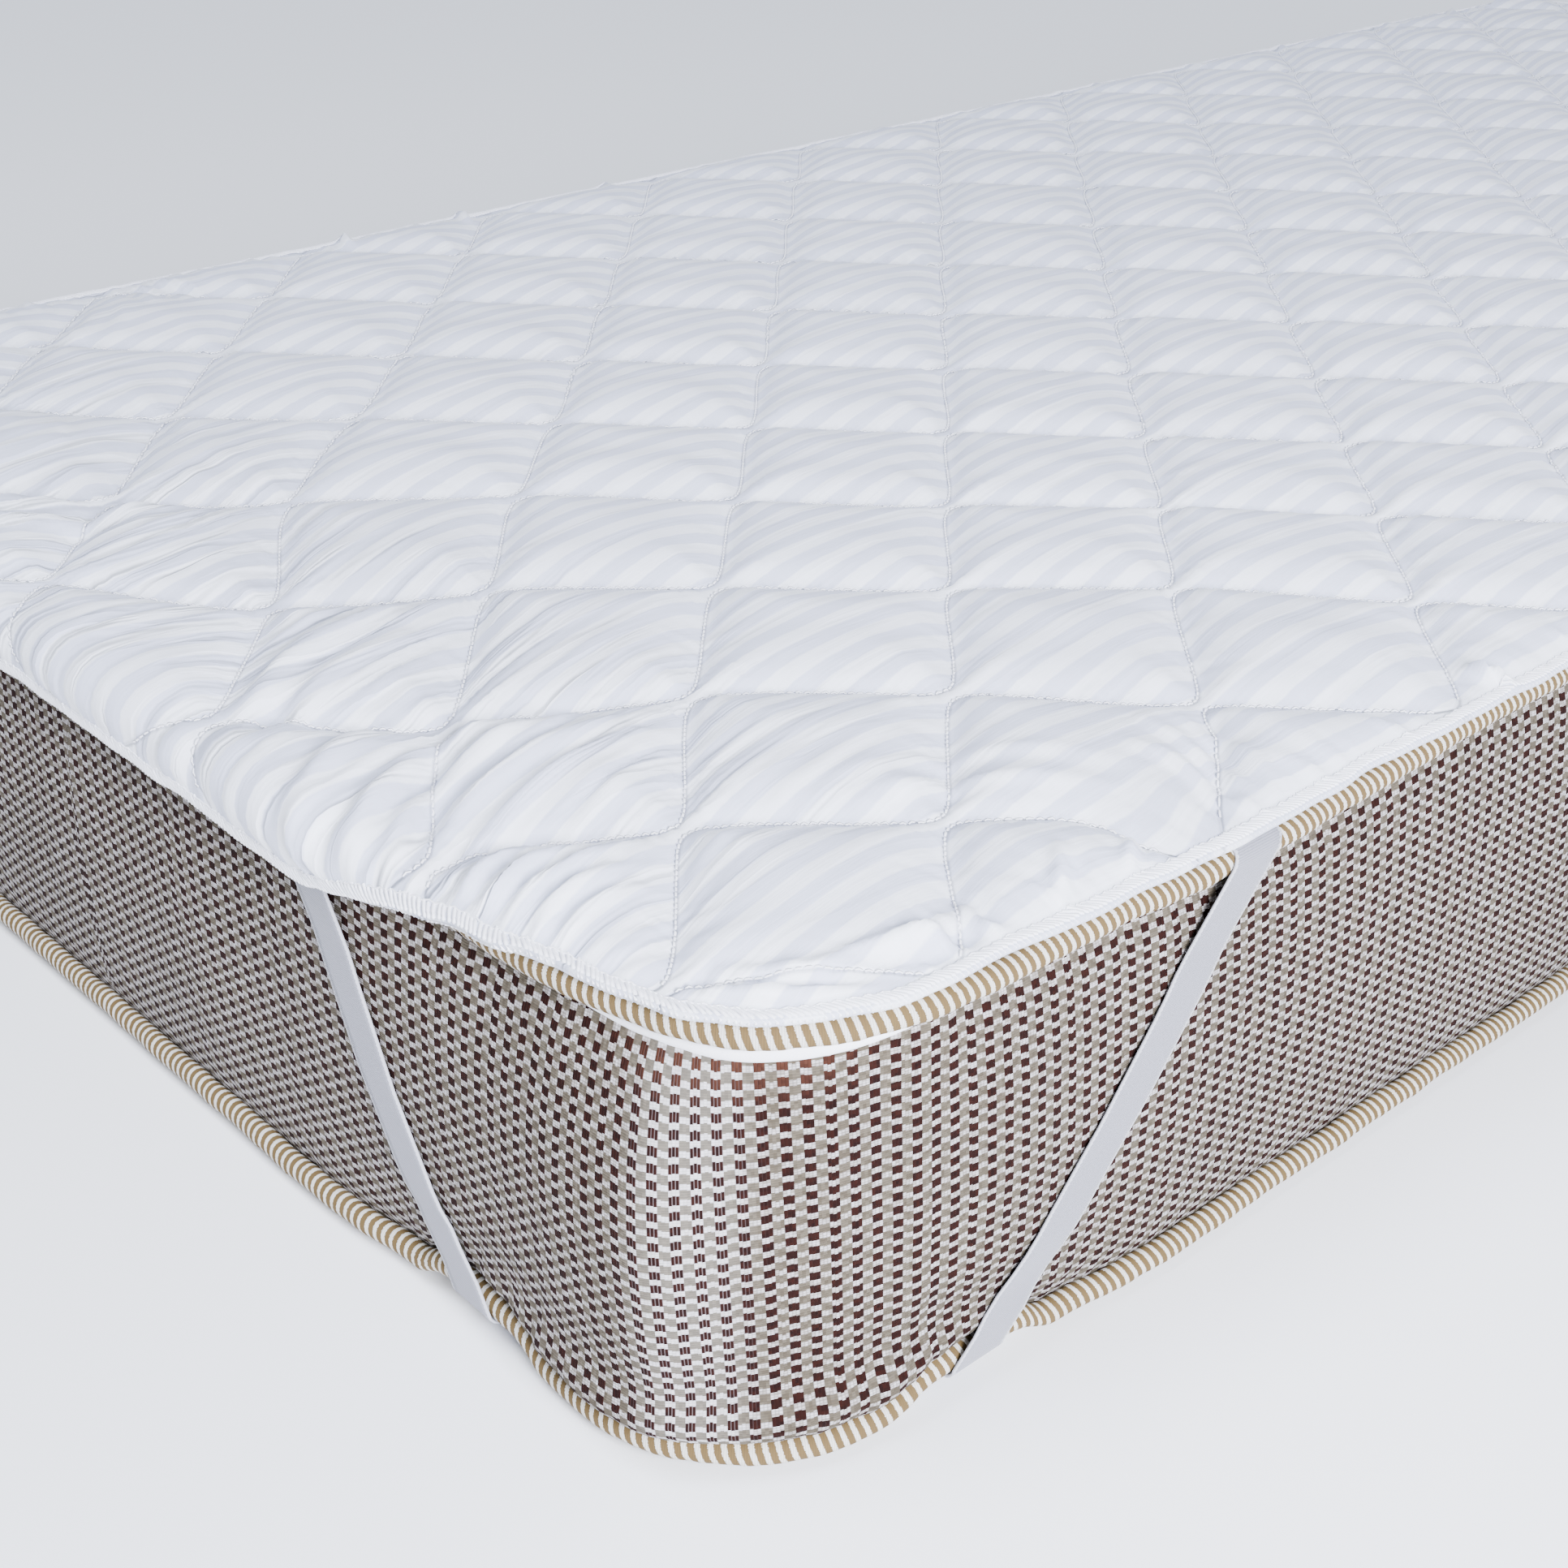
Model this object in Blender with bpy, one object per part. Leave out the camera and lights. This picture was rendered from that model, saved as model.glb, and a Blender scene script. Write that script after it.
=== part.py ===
"""Quilted mattress protector on a single mattress, held by one elastic strap at each corner.

Metres. X runs along the mattress, Y across it, and Z = 0 is the surface that it lies on.
The corner that the photograph shows is at the low end of X and Y.
"""

from collections import namedtuple
from math import asin, atan, cos, exp, hypot, pi, sin

import bmesh
import bpy
from mathutils import Vector
from mathutils.geometry import delaunay_2d_cdt

# Mattress
LENGTH = 1.900
WIDTH = 0.900
HEIGHT = 0.205
CORNER_RADIUS = 0.100
PANEL_MARGIN = 0.110
PANEL_CORNER_RADIUS = 0.020
ARC_STEPS = 8
SHARP_ANGLE = pi / 5

# Places of the outline's points along the sides: from the middle of a short side, from where a
# strap passes under the edge, and from there on along a long side
SHORT_SIDE_PLACES = (0.0, 0.11)
NOTCH_PLACES = (-0.060, -0.040, -0.018, 0.0, 0.018, 0.040)
LONG_SIDE_PLACES = (0.0, 0.018, 0.040, 0.070, 0.120, 0.220, 0.420)

# Border wall from its lower rim to its upper rim: height, how far it stands out from the plan
# outline, and how much it follows the notches that the straps pull into the bottom edge
WALL = (
    (0.0045, -0.0033, 1.00),
    (0.0145, -0.0014, 1.00),
    (0.0300, 0.0030, 0.85),
    (0.0650, 0.0070, 0.50),
    (0.1050, 0.0085, 0.20),
    (0.1450, 0.0070, 0.00),
    (0.1750, 0.0030, 0.00),
    (0.1925, -0.0014, 0.00),
    (0.2025, -0.0033, 0.00),
)

# Piping around the top and bottom edges
PIPING_RADIUS = 0.00525
PIPING_OUT = 0.0035
PIPING_LOW = 0.0095
PIPING_HIGH = 0.1975
PIPING_SIDES = 8

# Notch that a strap pulls into the bottom edge
NOTCH_LIFT = 0.009
NOTCH_REACH = 0.036
NOTCH_FLATNESS = 6
DRAW_IN = 0.007
DRAW_REACH = 0.075
DRAW_FLATNESS = 4

# Elastic straps: how far from the corner each leg leaves the top edge and passes the bottom edge
STRAP_WIDTH = 0.022
STRAP_THICKNESS = 0.0010
STRAP_GAP = 0.0005
NOTCH_SLACK = 0.0006
STRAP_TUCK = 0.043
LONG_LEG_TOP = 0.267
LONG_LEG_BOTTOM = 0.126
SHORT_LEG_TOP = 0.250
SHORT_LEG_BOTTOM = 0.153
STRAP_WALL_LEVELS = (0.175, 0.145, 0.105, 0.065, 0.040)
STRAP_FLOOR_GAP = 0.0003
UNDER_STEPS = 6

# Protector pad
PAD_UNDERSIDE = 0.2053
HEM_THICKNESS = 0.0030
HEM_WIDTH = 0.009
CROWN_THICKNESS = 0.0130
CROWN_RUN = 0.015
HEM_RUN = 0.018
PAD_HALF_WIDTH = 0.461
PAD_HALF_LENGTH = 0.9525
PAD_CORNER_RADIUS = 0.100
BEND_START = 0.9530
BEND_RADIUS = 0.0105
BEND_STEPS = 4
BEND_POINT_STEP = 0.022
OUTLINE_STEP = 0.032

# Pad edge over the short walls: distance from the corner, and cloth past the edge
OVERHANG = (
    (0.089, 0.000),
    (0.115, 0.008),
    (0.160, 0.013),
    (0.205, 0.023),
    (0.230, 0.030),
    (0.450, 0.030),
)

# Quilting: wavy rows of stitches, each the mirror of the next
QUILT_PITCH = 0.151
QUILT_WAVE = 0.0340
QUILT_ROUNDING = 0.90
QUILT_X = -0.775
QUILT_Y = -0.420
STITCH_STEP = 0.020
SHOULDER = 0.013
SHOULDER_CLEAR = 0.8
SHOULDER_APART = 0.6
CELL_REACH = 0.17
STITCH_MARGIN = 0.015
HEM_POINT_MARGIN = 0.8
HEM_POINT_APART = 0.6
ON_A_LINE = 0.000001
SAME_POINT = 0.00005

HALF_LENGTH = LENGTH / 2
HALF_WIDTH = WIDTH / 2
QUARTER_TURN = pi / 2
ARC_LENGTH = CORNER_RADIUS * QUARTER_TURN
ARC_START = HALF_WIDTH - CORNER_RADIUS
LONG_START = ARC_START + ARC_LENGTH
NOTCHES = (HALF_WIDTH - SHORT_LEG_BOTTOM, LONG_START + LONG_LEG_BOTTOM - CORNER_RADIUS)
CORNERS = ((-1, -1), (1, -1), (1, 1), (-1, 1))

# A place on the plan outline of one corner: a and b are the distances from the corner along the
# long and the short side, na and nb the outward normal there, s the run from the short side's middle
Station = namedtuple("Station", "sx sy a b na nb s")


def clear_scene():
    for obj in list(bpy.data.objects):
        bpy.data.objects.remove(obj, do_unlink=True)


def make_material(name, colour, roughness):
    material = bpy.data.materials.new(name)
    material.use_nodes = True
    shader = material.node_tree.nodes["Principled BSDF"]
    shader.inputs["Base Color"].default_value = (*colour, 1)
    shader.inputs["Roughness"].default_value = roughness
    shader.inputs["Metallic"].default_value = 0
    return material


def add_object(name, bm, material):
    bmesh.ops.recalc_face_normals(bm, faces=bm.faces)
    mesh = bpy.data.meshes.new(name)
    bm.to_mesh(mesh)
    bm.free()
    mesh.materials.append(material)
    mesh.shade_smooth()
    mesh.set_sharp_from_angle(angle=SHARP_ANGLE)
    obj = bpy.data.objects.new(name, mesh)
    bpy.context.scene.collection.objects.link(obj)
    return obj


def skin(bm, rings, closed=False):
    """Join rings of points with quads; closed also joins the last ring to the first."""
    rows = [[bm.verts.new(point) for point in ring] for ring in rings]
    pairs = list(zip(rows, rows[1:]))
    if closed:
        pairs.append((rows[-1], rows[0]))
    for low, high in pairs:
        for i in range(len(low)):
            j = (i + 1) % len(low)
            bm.faces.new((low[i], low[j], high[j], high[i]))
    return rows


# Plan outline

def corner_runs():
    """Runs along one corner's outline, closer together where a strap passes under the edge."""
    short_side = list(SHORT_SIDE_PLACES) + [NOTCHES[0] + step for step in NOTCH_PLACES]
    arc = [ARC_START + ARC_LENGTH * i / ARC_STEPS for i in range(ARC_STEPS + 1)]
    long_side = [NOTCHES[1] + step for step in LONG_SIDE_PLACES]
    return short_side + arc + long_side + [LONG_START + HALF_LENGTH - CORNER_RADIUS]


def corner_station(sx, sy, s):
    if s < ARC_START:
        return Station(sx, sy, 0, HALF_WIDTH - s, -1, 0, s)
    if s > LONG_START:
        return Station(sx, sy, CORNER_RADIUS + s - LONG_START, 0, 0, -1, s)
    angle = pi + (s - ARC_START) / CORNER_RADIUS
    a = CORNER_RADIUS * (1 + cos(angle))
    b = CORNER_RADIUS * (1 + sin(angle))
    return Station(sx, sy, a, b, cos(angle), sin(angle), s)


def outline_stations():
    """Stations once around the mattress; every second corner runs backwards."""
    stations = []
    for number, (sx, sy) in enumerate(CORNERS):
        runs = corner_runs()
        if number % 2:
            runs.reverse()
        stations += [corner_station(sx, sy, s) for s in runs[:-1]]
    return stations


def world(station, out, z):
    """World point at a distance outside the plan outline."""
    x = station.sx * (HALF_LENGTH - station.a - station.na * out)
    y = station.sy * (HALF_WIDTH - station.b - station.nb * out)
    return Vector((x, y, z))


def lift(s):
    shares = [exp(-((s - notch) / NOTCH_REACH) ** NOTCH_FLATNESS) for notch in NOTCHES]
    return NOTCH_LIFT * max(shares)


def draw_in(s):
    shares = [exp(-((s - notch) / DRAW_REACH) ** DRAW_FLATNESS) for notch in NOTCHES]
    return DRAW_IN * max(shares)


def edge_ring(stations, z, out, follow):
    ring = []
    for station in stations:
        moved_out = out - follow * draw_in(station.s)
        ring.append(world(station, moved_out, z + follow * lift(station.s)))
    return ring


# Mattress and piping

def panel_ring(stations, z):
    """The flat part of a panel: the outline again, inside the margin and with tighter corners."""
    reach = PANEL_MARGIN + PANEL_CORNER_RADIUS
    ring = []
    for station in stations:
        a = reach + station.na * PANEL_CORNER_RADIUS
        b = reach + station.nb * PANEL_CORNER_RADIUS
        if station.s < ARC_START:
            share = (station.b - CORNER_RADIUS) / (HALF_WIDTH - CORNER_RADIUS)
            b = reach + share * (HALF_WIDTH - reach)
        if station.s > LONG_START:
            share = (station.a - CORNER_RADIUS) / (HALF_LENGTH - CORNER_RADIUS)
            a = reach + share * (HALF_LENGTH - reach)
        ring.append(Vector((station.sx * (HALF_LENGTH - a), station.sy * (HALF_WIDTH - b), z)))
    return ring


def make_mattress(stations, material):
    rings = [panel_ring(stations, 0)]
    rings += [edge_ring(stations, z, out, follow) for z, out, follow in WALL]
    rings.append(panel_ring(stations, HEIGHT))
    bm = bmesh.new()
    rows = skin(bm, rings)
    bm.faces.new(rows[0])
    bm.faces.new(rows[-1])
    add_object("mattress", bm, material)


def make_piping(name, stations, z, follow, material):
    rings = []
    for station in stations:
        ring = []
        for i in range(PIPING_SIDES):
            angle = 2 * pi * i / PIPING_SIDES
            out = PIPING_OUT + PIPING_RADIUS * cos(angle) - follow * draw_in(station.s)
            up = z + PIPING_RADIUS * sin(angle) + follow * lift(station.s)
            ring.append(world(station, out, up))
        rings.append(ring)
    bm = bmesh.new()
    skin(bm, rings, closed=True)
    add_object(name, bm, material)


# Elastic straps

def wall_out(z, s):
    """How far the border wall stands out at a height."""
    for (low, out_low, follow_low), (high, out_high, follow_high) in zip(WALL, WALL[1:]):
        if low <= z <= high:
            share = (z - low) / (high - low)
            out = out_low + share * (out_high - out_low)
            follow = follow_low + share * (follow_high - follow_low)
            return out - follow * draw_in(s)
    return PIPING_OUT


def leg_profile(notch, run_at):
    """Strap centre from under the hem to under the bottom piping: rows of out, z and up-normal.

    The normal is given as an angle, 90 degrees on the top panel and 0 on the wall.
    """
    round_piping = PIPING_RADIUS + STRAP_GAP + STRAP_THICKNESS / 2
    lie = STRAP_GAP + STRAP_THICKNESS / 2
    rim = WALL[-1][0]
    slope = (HEIGHT - rim) / PANEL_MARGIN
    tuck_height = rim + slope * STRAP_TUCK + lie
    rows = [(-STRAP_TUCK, tuck_height, QUARTER_TURN)]
    for angle in (QUARTER_TURN, QUARTER_TURN * 2 / 3, QUARTER_TURN / 3, 0):
        out = PIPING_OUT + round_piping * cos(angle)
        rows.append((out, PIPING_HIGH + round_piping * sin(angle), angle))
    round_low = round_piping + NOTCH_SLACK
    low_out = PIPING_OUT - draw_in(notch)
    low_z = PIPING_LOW + lift(notch)
    top_out = rows[-1][0]
    for z in STRAP_WALL_LEVELS:
        share = (PIPING_HIGH - z) / (PIPING_HIGH - low_z)
        taut = top_out + share * (low_out + round_low - top_out)
        rows.append((max(taut, wall_out(z, run_at(z)) + 2 * lie), z, 0))
    for angle in (0, -QUARTER_TURN / 3, -QUARTER_TURN * 2 / 3, -QUARTER_TURN):
        rows.append((low_out + round_low * cos(angle), low_z + round_low * sin(angle), angle))
    return rows


def leg_sections(top, bottom, notch, side_station):
    """Cross-sections of one leg, each across the strap and level with the edge."""
    wall_run = PIPING_HIGH - PIPING_LOW - lift(notch)
    slant = (top - bottom) / wall_run
    half = STRAP_WIDTH / 2 * hypot(1, slant)

    def away_at(z):
        return bottom + slant * (z - PIPING_LOW - lift(notch))

    def run_at(z):
        return notch + (away_at(z) - bottom) * (1 if notch > LONG_START else -1)

    sections = []
    for out, z, angle in leg_profile(notch, run_at):
        away = min(away_at(z), top)
        away = max(away, bottom)
        if out < 0 and z > HEIGHT / 2:
            away = top - slant * out
        thick_out = STRAP_THICKNESS / 2 * cos(angle)
        thick_up = STRAP_THICKNESS / 2 * sin(angle)
        ends = (side_station(away - half), side_station(away + half))
        sections.append([
            world(ends[0], out - thick_out, z - thick_up),
            world(ends[1], out - thick_out, z - thick_up),
            world(ends[1], out + thick_out, z + thick_up),
            world(ends[0], out + thick_out, z + thick_up),
        ])
    return sections


def under_sections(long_end, short_end):
    """Cross-sections under the corner, flat on the floor side and turning from edge to edge."""
    sections = []
    for i in range(1, UNDER_STEPS):
        ends = [start.lerp(end, i / UNDER_STEPS) for start, end in zip(long_end, short_end)]
        middle = (ends[0] + ends[1]) / 2
        across = ends[1] - ends[0]
        across.z = 0
        across = across.normalized() * STRAP_WIDTH / 2
        middle.z = STRAP_FLOOR_GAP
        top = middle + Vector((0, 0, STRAP_THICKNESS))
        sections.append([top - across, top + across, middle + across, middle - across])
    return sections


def make_strap(name, sx, sy, material):
    def on_long_side(away):
        return Station(sx, sy, away, 0, 0, -1, 0)

    def on_short_side(away):
        return Station(sx, sy, 0, away, -1, 0, 0)

    long_leg = leg_sections(LONG_LEG_TOP, LONG_LEG_BOTTOM, NOTCHES[1], on_long_side)
    short_leg = leg_sections(SHORT_LEG_TOP, SHORT_LEG_BOTTOM, NOTCHES[0], on_short_side)
    sections = long_leg + under_sections(long_leg[-1], short_leg[-1]) + short_leg[::-1]
    bm = bmesh.new()
    rows = skin(bm, sections)
    bm.faces.new(rows[0])
    bm.faces.new(rows[-1])
    add_object(name, bm, material)


# Protector pad

def overhang(away):
    """Cloth past the edge of a short wall, at a distance from the corner."""
    if away <= OVERHANG[0][0]:
        return 0
    for (near, cloth_near), (far, cloth_far) in zip(OVERHANG, OVERHANG[1:]):
        if away <= far:
            return cloth_near + (cloth_far - cloth_near) * (away - near) / (far - near)
    return OVERHANG[-1][1]


def away_with(cloth):
    """Distance from the corner at which the pad's edge hangs by this much cloth."""
    for (near, cloth_near), (far, cloth_far) in zip(OVERHANG, OVERHANG[1:]):
        if cloth_near <= cloth <= cloth_far:
            return near + (far - near) * (cloth - cloth_near) / (cloth_far - cloth_near)
    return OVERHANG[0][0]


def short_side_places():
    """Y of the outline's points along half of a short side, one on each bend line among them."""
    places = {HALF_WIDTH - away for away, _ in OVERHANG[1:]}
    places |= {HALF_WIDTH - away_with(x - PAD_HALF_LENGTH) for x in bend_lines() if x > 0}
    middle = HALF_WIDTH - OVERHANG[-2][0]
    count = round(middle / OUTLINE_STEP)
    places |= {middle * i / count for i in range(1, count)}
    return sorted(places)


def pad_corner_points():
    """Outline of one corner of the flat pad, from the middle of the short side."""
    points = [(PAD_HALF_LENGTH + overhang(HALF_WIDTH - y), y) for y in short_side_places()]
    straight = PAD_HALF_WIDTH - PAD_CORNER_RADIUS
    for i in range(ARC_STEPS + 1):
        angle = QUARTER_TURN * i / ARC_STEPS
        x = PAD_HALF_LENGTH - PAD_CORNER_RADIUS * (1 - cos(angle))
        points.append((x, straight + PAD_CORNER_RADIUS * sin(angle)))
    long_run = PAD_HALF_LENGTH - PAD_CORNER_RADIUS
    count = round(long_run / OUTLINE_STEP)
    for i in range(1, count + 1):
        points.append((long_run * (1 - i / count), PAD_HALF_WIDTH))
    return points


def pad_outline():
    outline = []
    for number, (sx, sy) in enumerate(CORNERS):
        points = pad_corner_points()
        if number % 2:
            points.reverse()
        outline += [Vector((sx * x, sy * y)) for x, y in points[:-1]]
    return outline


def inside_distance(point, outline):
    """Distance to the pad's edge, negative outside."""
    nearest = 1.0
    inside = False
    for i, start in enumerate(outline):
        end = outline[(i + 1) % len(outline)]
        along = end - start
        share = max(0, min(1, (point - start).dot(along) / along.length_squared))
        nearest = min(nearest, (point - start - along * share).length)
        if (start.y > point.y) != (end.y > point.y):
            crossing = start.x + along.x * (point.y - start.y) / along.y
            inside ^= point.x < crossing
    return nearest if inside else -nearest


def quilt_row(row, x):
    """Height of one row of stitches on the flat pad, and its slope there."""
    phase = 2 * pi * (x - QUILT_X) / QUILT_PITCH
    sign = -1 if row % 2 else 1
    scale = sign * QUILT_WAVE / asin(QUILT_ROUNDING)
    inner = QUILT_ROUNDING * cos(phase)
    slope = -scale * QUILT_ROUNDING * sin(phase) / (1 - inner ** 2) ** 0.5 * 2 * pi / QUILT_PITCH
    return QUILT_Y + row * QUILT_PITCH / 2 + scale * asin(inner), slope


def quilt_rows():
    span = 2 * PAD_HALF_WIDTH / (QUILT_PITCH / 2)
    return range(-1, int(span) + 2)


def stitch_distance(x, y):
    nearest = QUILT_PITCH
    for row in quilt_rows():
        height, slope = quilt_row(row, x)
        nearest = min(nearest, abs(y - height) * cos(atan(slope)))
    return nearest


def pad_thickness(x, y, edge):
    """Hem thickness at the edge and along each row of stitches, full in the middle of a cell."""
    from_stitch = 1 - exp(-stitch_distance(x, y) / CROWN_RUN)
    from_hem = 1 - exp(-max(0, edge - HEM_WIDTH) / HEM_RUN)
    return HEM_THICKNESS + (CROWN_THICKNESS - HEM_THICKNESS) * from_stitch * from_hem


def bend(x, y, height):
    """Lay a point of the flat pad on the mattress, over the short edges where it reaches them."""
    side = 1 if x > 0 else -1
    run = abs(x) - BEND_START
    if run <= 0:
        return Vector((x, y, PAD_UNDERSIDE + height))
    angle = min(run / BEND_RADIUS, QUARTER_TURN)
    hang = max(0, run - BEND_RADIUS * QUARTER_TURN)
    radius = BEND_RADIUS + height
    z = PAD_UNDERSIDE - BEND_RADIUS + radius * cos(angle) - hang
    return Vector((side * (BEND_START + radius * sin(angle)), y, z))


def bend_lines():
    """X of the lines along which the pad bends over the short edges."""
    step = BEND_RADIUS * QUARTER_TURN / BEND_STEPS
    return [side * (BEND_START + i * step) for side in (-1, 1) for i in range(BEND_STEPS + 1)]


class FlatPad:
    """Points and fixed edges of the flat pad, before it is cut into triangles."""

    def __init__(self, outline):
        self.outline = outline
        self.points = list(outline)
        self.edges = []

    def add(self, x, y, margin, apart=0.0):
        """Add a point well inside the pad and apart from the others; returns its number."""
        point = Vector((x, y))
        if inside_distance(point, self.outline) < margin:
            return None
        if apart and any((point - other).length < apart for other in self.points):
            return None
        self.points.append(point)
        return len(self.points) - 1

    def fix_bend_lines(self):
        """Join the points on each bend line into a chain of fixed edges."""
        for x in bend_lines():
            chain = [i for i, point in enumerate(self.points) if abs(point.x - x) < ON_A_LINE]
            chain.sort(key=lambda i: self.points[i].y)
            self.edges += zip(chain, chain[1:])

    def triangles(self):
        loop = list(range(len(self.outline)))
        result = delaunay_2d_cdt(self.points, self.edges, [loop], 1, SAME_POINT)
        return result[0], result[2]


def add_stitch_rows(flat):
    """Each row of stitches is a chain of fixed edges, with shoulder points beside it."""
    count = round(2 * PAD_HALF_LENGTH / STITCH_STEP)
    places = [PAD_HALF_LENGTH * (2 * i / count - 1) for i in range(count + 1)]
    places = [x for x in places if abs(x) < BEND_START - STITCH_STEP / 2]
    places = sorted(places + bend_lines())
    shoulders = []
    for row in quilt_rows():
        previous = None
        for number, x in enumerate(places):
            y, slope = quilt_row(row, x)
            current = flat.add(x, y, STITCH_MARGIN)
            if current is not None and previous is not None:
                flat.edges.append((previous, current))
            previous = current
            if number % 2 and abs(x) < BEND_START - SHOULDER:
                length = hypot(1, slope)
                for side in (-SHOULDER, SHOULDER):
                    shoulders.append((x - side * slope / length, y + side / length))
    for x, y in shoulders:
        if stitch_distance(x, y) > SHOULDER_CLEAR * SHOULDER:
            flat.add(x, y, STITCH_MARGIN, apart=SHOULDER_APART * SHOULDER)


def add_cell_middles(flat):
    reach = QUILT_PITCH * CELL_REACH
    columns = round(LENGTH / QUILT_PITCH) + 2
    for row in quilt_rows():
        middle_y = QUILT_Y + (row + 0.5) * QUILT_PITCH / 2
        offset = 0 if row % 2 else 0.5
        for column in range(-1, columns):
            middle_x = QUILT_X + (column + offset) * QUILT_PITCH
            for dx, dy in ((0, 0), (reach, 0), (-reach, 0), (0, reach), (0, -reach)):
                if abs(middle_x + dx) < BEND_START - SHOULDER:
                    flat.add(middle_x + dx, middle_y + dy, STITCH_MARGIN, apart=SHOULDER)


def add_bend_points(flat):
    count = round(PAD_HALF_WIDTH / BEND_POINT_STEP)
    for x in bend_lines():
        for i in range(-count, count + 1):
            flat.add(x, i * BEND_POINT_STEP, STITCH_MARGIN, apart=BEND_POINT_STEP / 4)


def add_hem_ring(flat):
    """Points along the inner side of the hem."""
    outline = flat.outline
    for i, point in enumerate(outline):
        along = outline[(i + 1) % len(outline)] - outline[i - 1]
        inward = Vector((-along.y, along.x)).normalized()
        ring_point = point + inward * HEM_WIDTH
        flat.add(ring_point.x, ring_point.y, HEM_POINT_MARGIN * HEM_WIDTH, apart=HEM_POINT_APART * HEM_WIDTH)


def make_pad(material):
    outline = pad_outline()
    face = FlatPad(outline)
    add_stitch_rows(face)
    add_cell_middles(face)
    add_bend_points(face)
    add_hem_ring(face)
    back = FlatPad(outline)
    bm = bmesh.new()
    rims = []
    for flat, on_face in ((face, True), (back, False)):
        flat.fix_bend_lines()
        points, triangles = flat.triangles()
        verts = []
        for point in points:
            height = 0
            if on_face:
                height = pad_thickness(point.x, point.y, inside_distance(point, outline))
            verts.append(bm.verts.new(bend(point.x, point.y, height)))
        for triangle in triangles:
            bm.faces.new([verts[i] for i in triangle])
        rims.append(verts[:len(outline)])
    for i in range(len(outline)):
        j = (i + 1) % len(outline)
        bm.faces.new((rims[0][i], rims[0][j], rims[1][j], rims[1][i]))
    add_object("protector_pad", bm, material)


def main():
    clear_scene()
    border = make_material("Woven border cloth", (0.45, 0.38, 0.35), 0.85)
    cord = make_material("Striped piping cloth", (0.62, 0.50, 0.36), 0.75)
    satin = make_material("White satin stripe cloth", (0.86, 0.86, 0.90), 0.55)
    elastic = make_material("White ribbed elastic", (0.66, 0.66, 0.70), 0.70)
    stations = outline_stations()
    make_mattress(stations, border)
    make_piping("piping_top", stations, PIPING_HIGH, 0, cord)
    make_piping("piping_bottom", stations, PIPING_LOW, 1, cord)
    make_pad(satin)
    for number, (sx, sy) in enumerate(CORNERS, start=1):
        make_strap(f"corner_strap_{number}", sx, sy, elastic)


main()
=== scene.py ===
# %% [markdown]
# Quilted mattress protector on a single mattress.
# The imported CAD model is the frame: it fixes where every piece goes and how large it is.
# Each soft piece here stands for one CAD solid, and adds the weave, puckers, folds and stitches.
# Metres, with X along the mattress, Y across it, and the shown corner at the low end of both.

# %% Load the frame
from math import radians

import bpy
import numpy as np
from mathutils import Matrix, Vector
from mathutils.bvhtree import BVHTree


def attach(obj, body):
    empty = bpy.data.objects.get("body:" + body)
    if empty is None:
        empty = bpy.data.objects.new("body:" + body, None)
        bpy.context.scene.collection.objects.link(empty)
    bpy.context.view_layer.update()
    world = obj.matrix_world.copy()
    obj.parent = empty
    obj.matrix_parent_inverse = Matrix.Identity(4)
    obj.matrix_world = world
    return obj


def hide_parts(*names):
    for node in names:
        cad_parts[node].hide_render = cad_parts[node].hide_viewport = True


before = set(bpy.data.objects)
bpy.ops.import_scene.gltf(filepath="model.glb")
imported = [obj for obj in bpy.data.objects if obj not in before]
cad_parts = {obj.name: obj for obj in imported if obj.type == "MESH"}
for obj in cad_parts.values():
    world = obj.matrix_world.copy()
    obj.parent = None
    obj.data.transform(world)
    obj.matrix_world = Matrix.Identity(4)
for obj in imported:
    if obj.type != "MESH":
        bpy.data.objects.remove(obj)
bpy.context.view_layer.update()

pi = np.pi
print("CAD nodes:", sorted(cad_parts))

# %% [markdown]
# The camera stands where the photograph was taken from, found from the mattress's edges,
# the straps and the quilting. It is added first, so that each piece can be looked at as it grows.

# %% Camera
bpy.ops.object.camera_add(location=(-1.3483, -0.9154, 0.6459),
                          rotation=(radians(61.543), radians(-0.406), radians(-42.019)))
camera = bpy.context.object
camera.data.sensor_width = 36.0
camera.data.lens = 53.71
bpy.context.scene.camera = camera
print("camera at", tuple(round(value, 3) for value in camera.location))

# %% [markdown]
# Soft pieces are sheets of points in rows and columns. A grid primitive bent by hand gives the
# same thing, but here each point's place is worked out, so the rows are written straight into a
# mesh. These helpers do that, and give each piece a UV map in metres, so that a pattern on the
# cloth is drawn at its real size.

# %% Mesh helpers
def rows_of_faces(rows, columns, closed=False):
    """Corner numbers of the faces between rows of points; closed joins the last column too."""
    numbers = np.arange(rows * columns).reshape(rows, columns)
    right = np.roll(numbers, -1, axis=1)
    quads = np.stack([numbers[:-1], right[:-1], right[1:], numbers[1:]], -1)
    if not closed:
        quads = quads[:, :-1]
    return quads.reshape(-1, 4)


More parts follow.
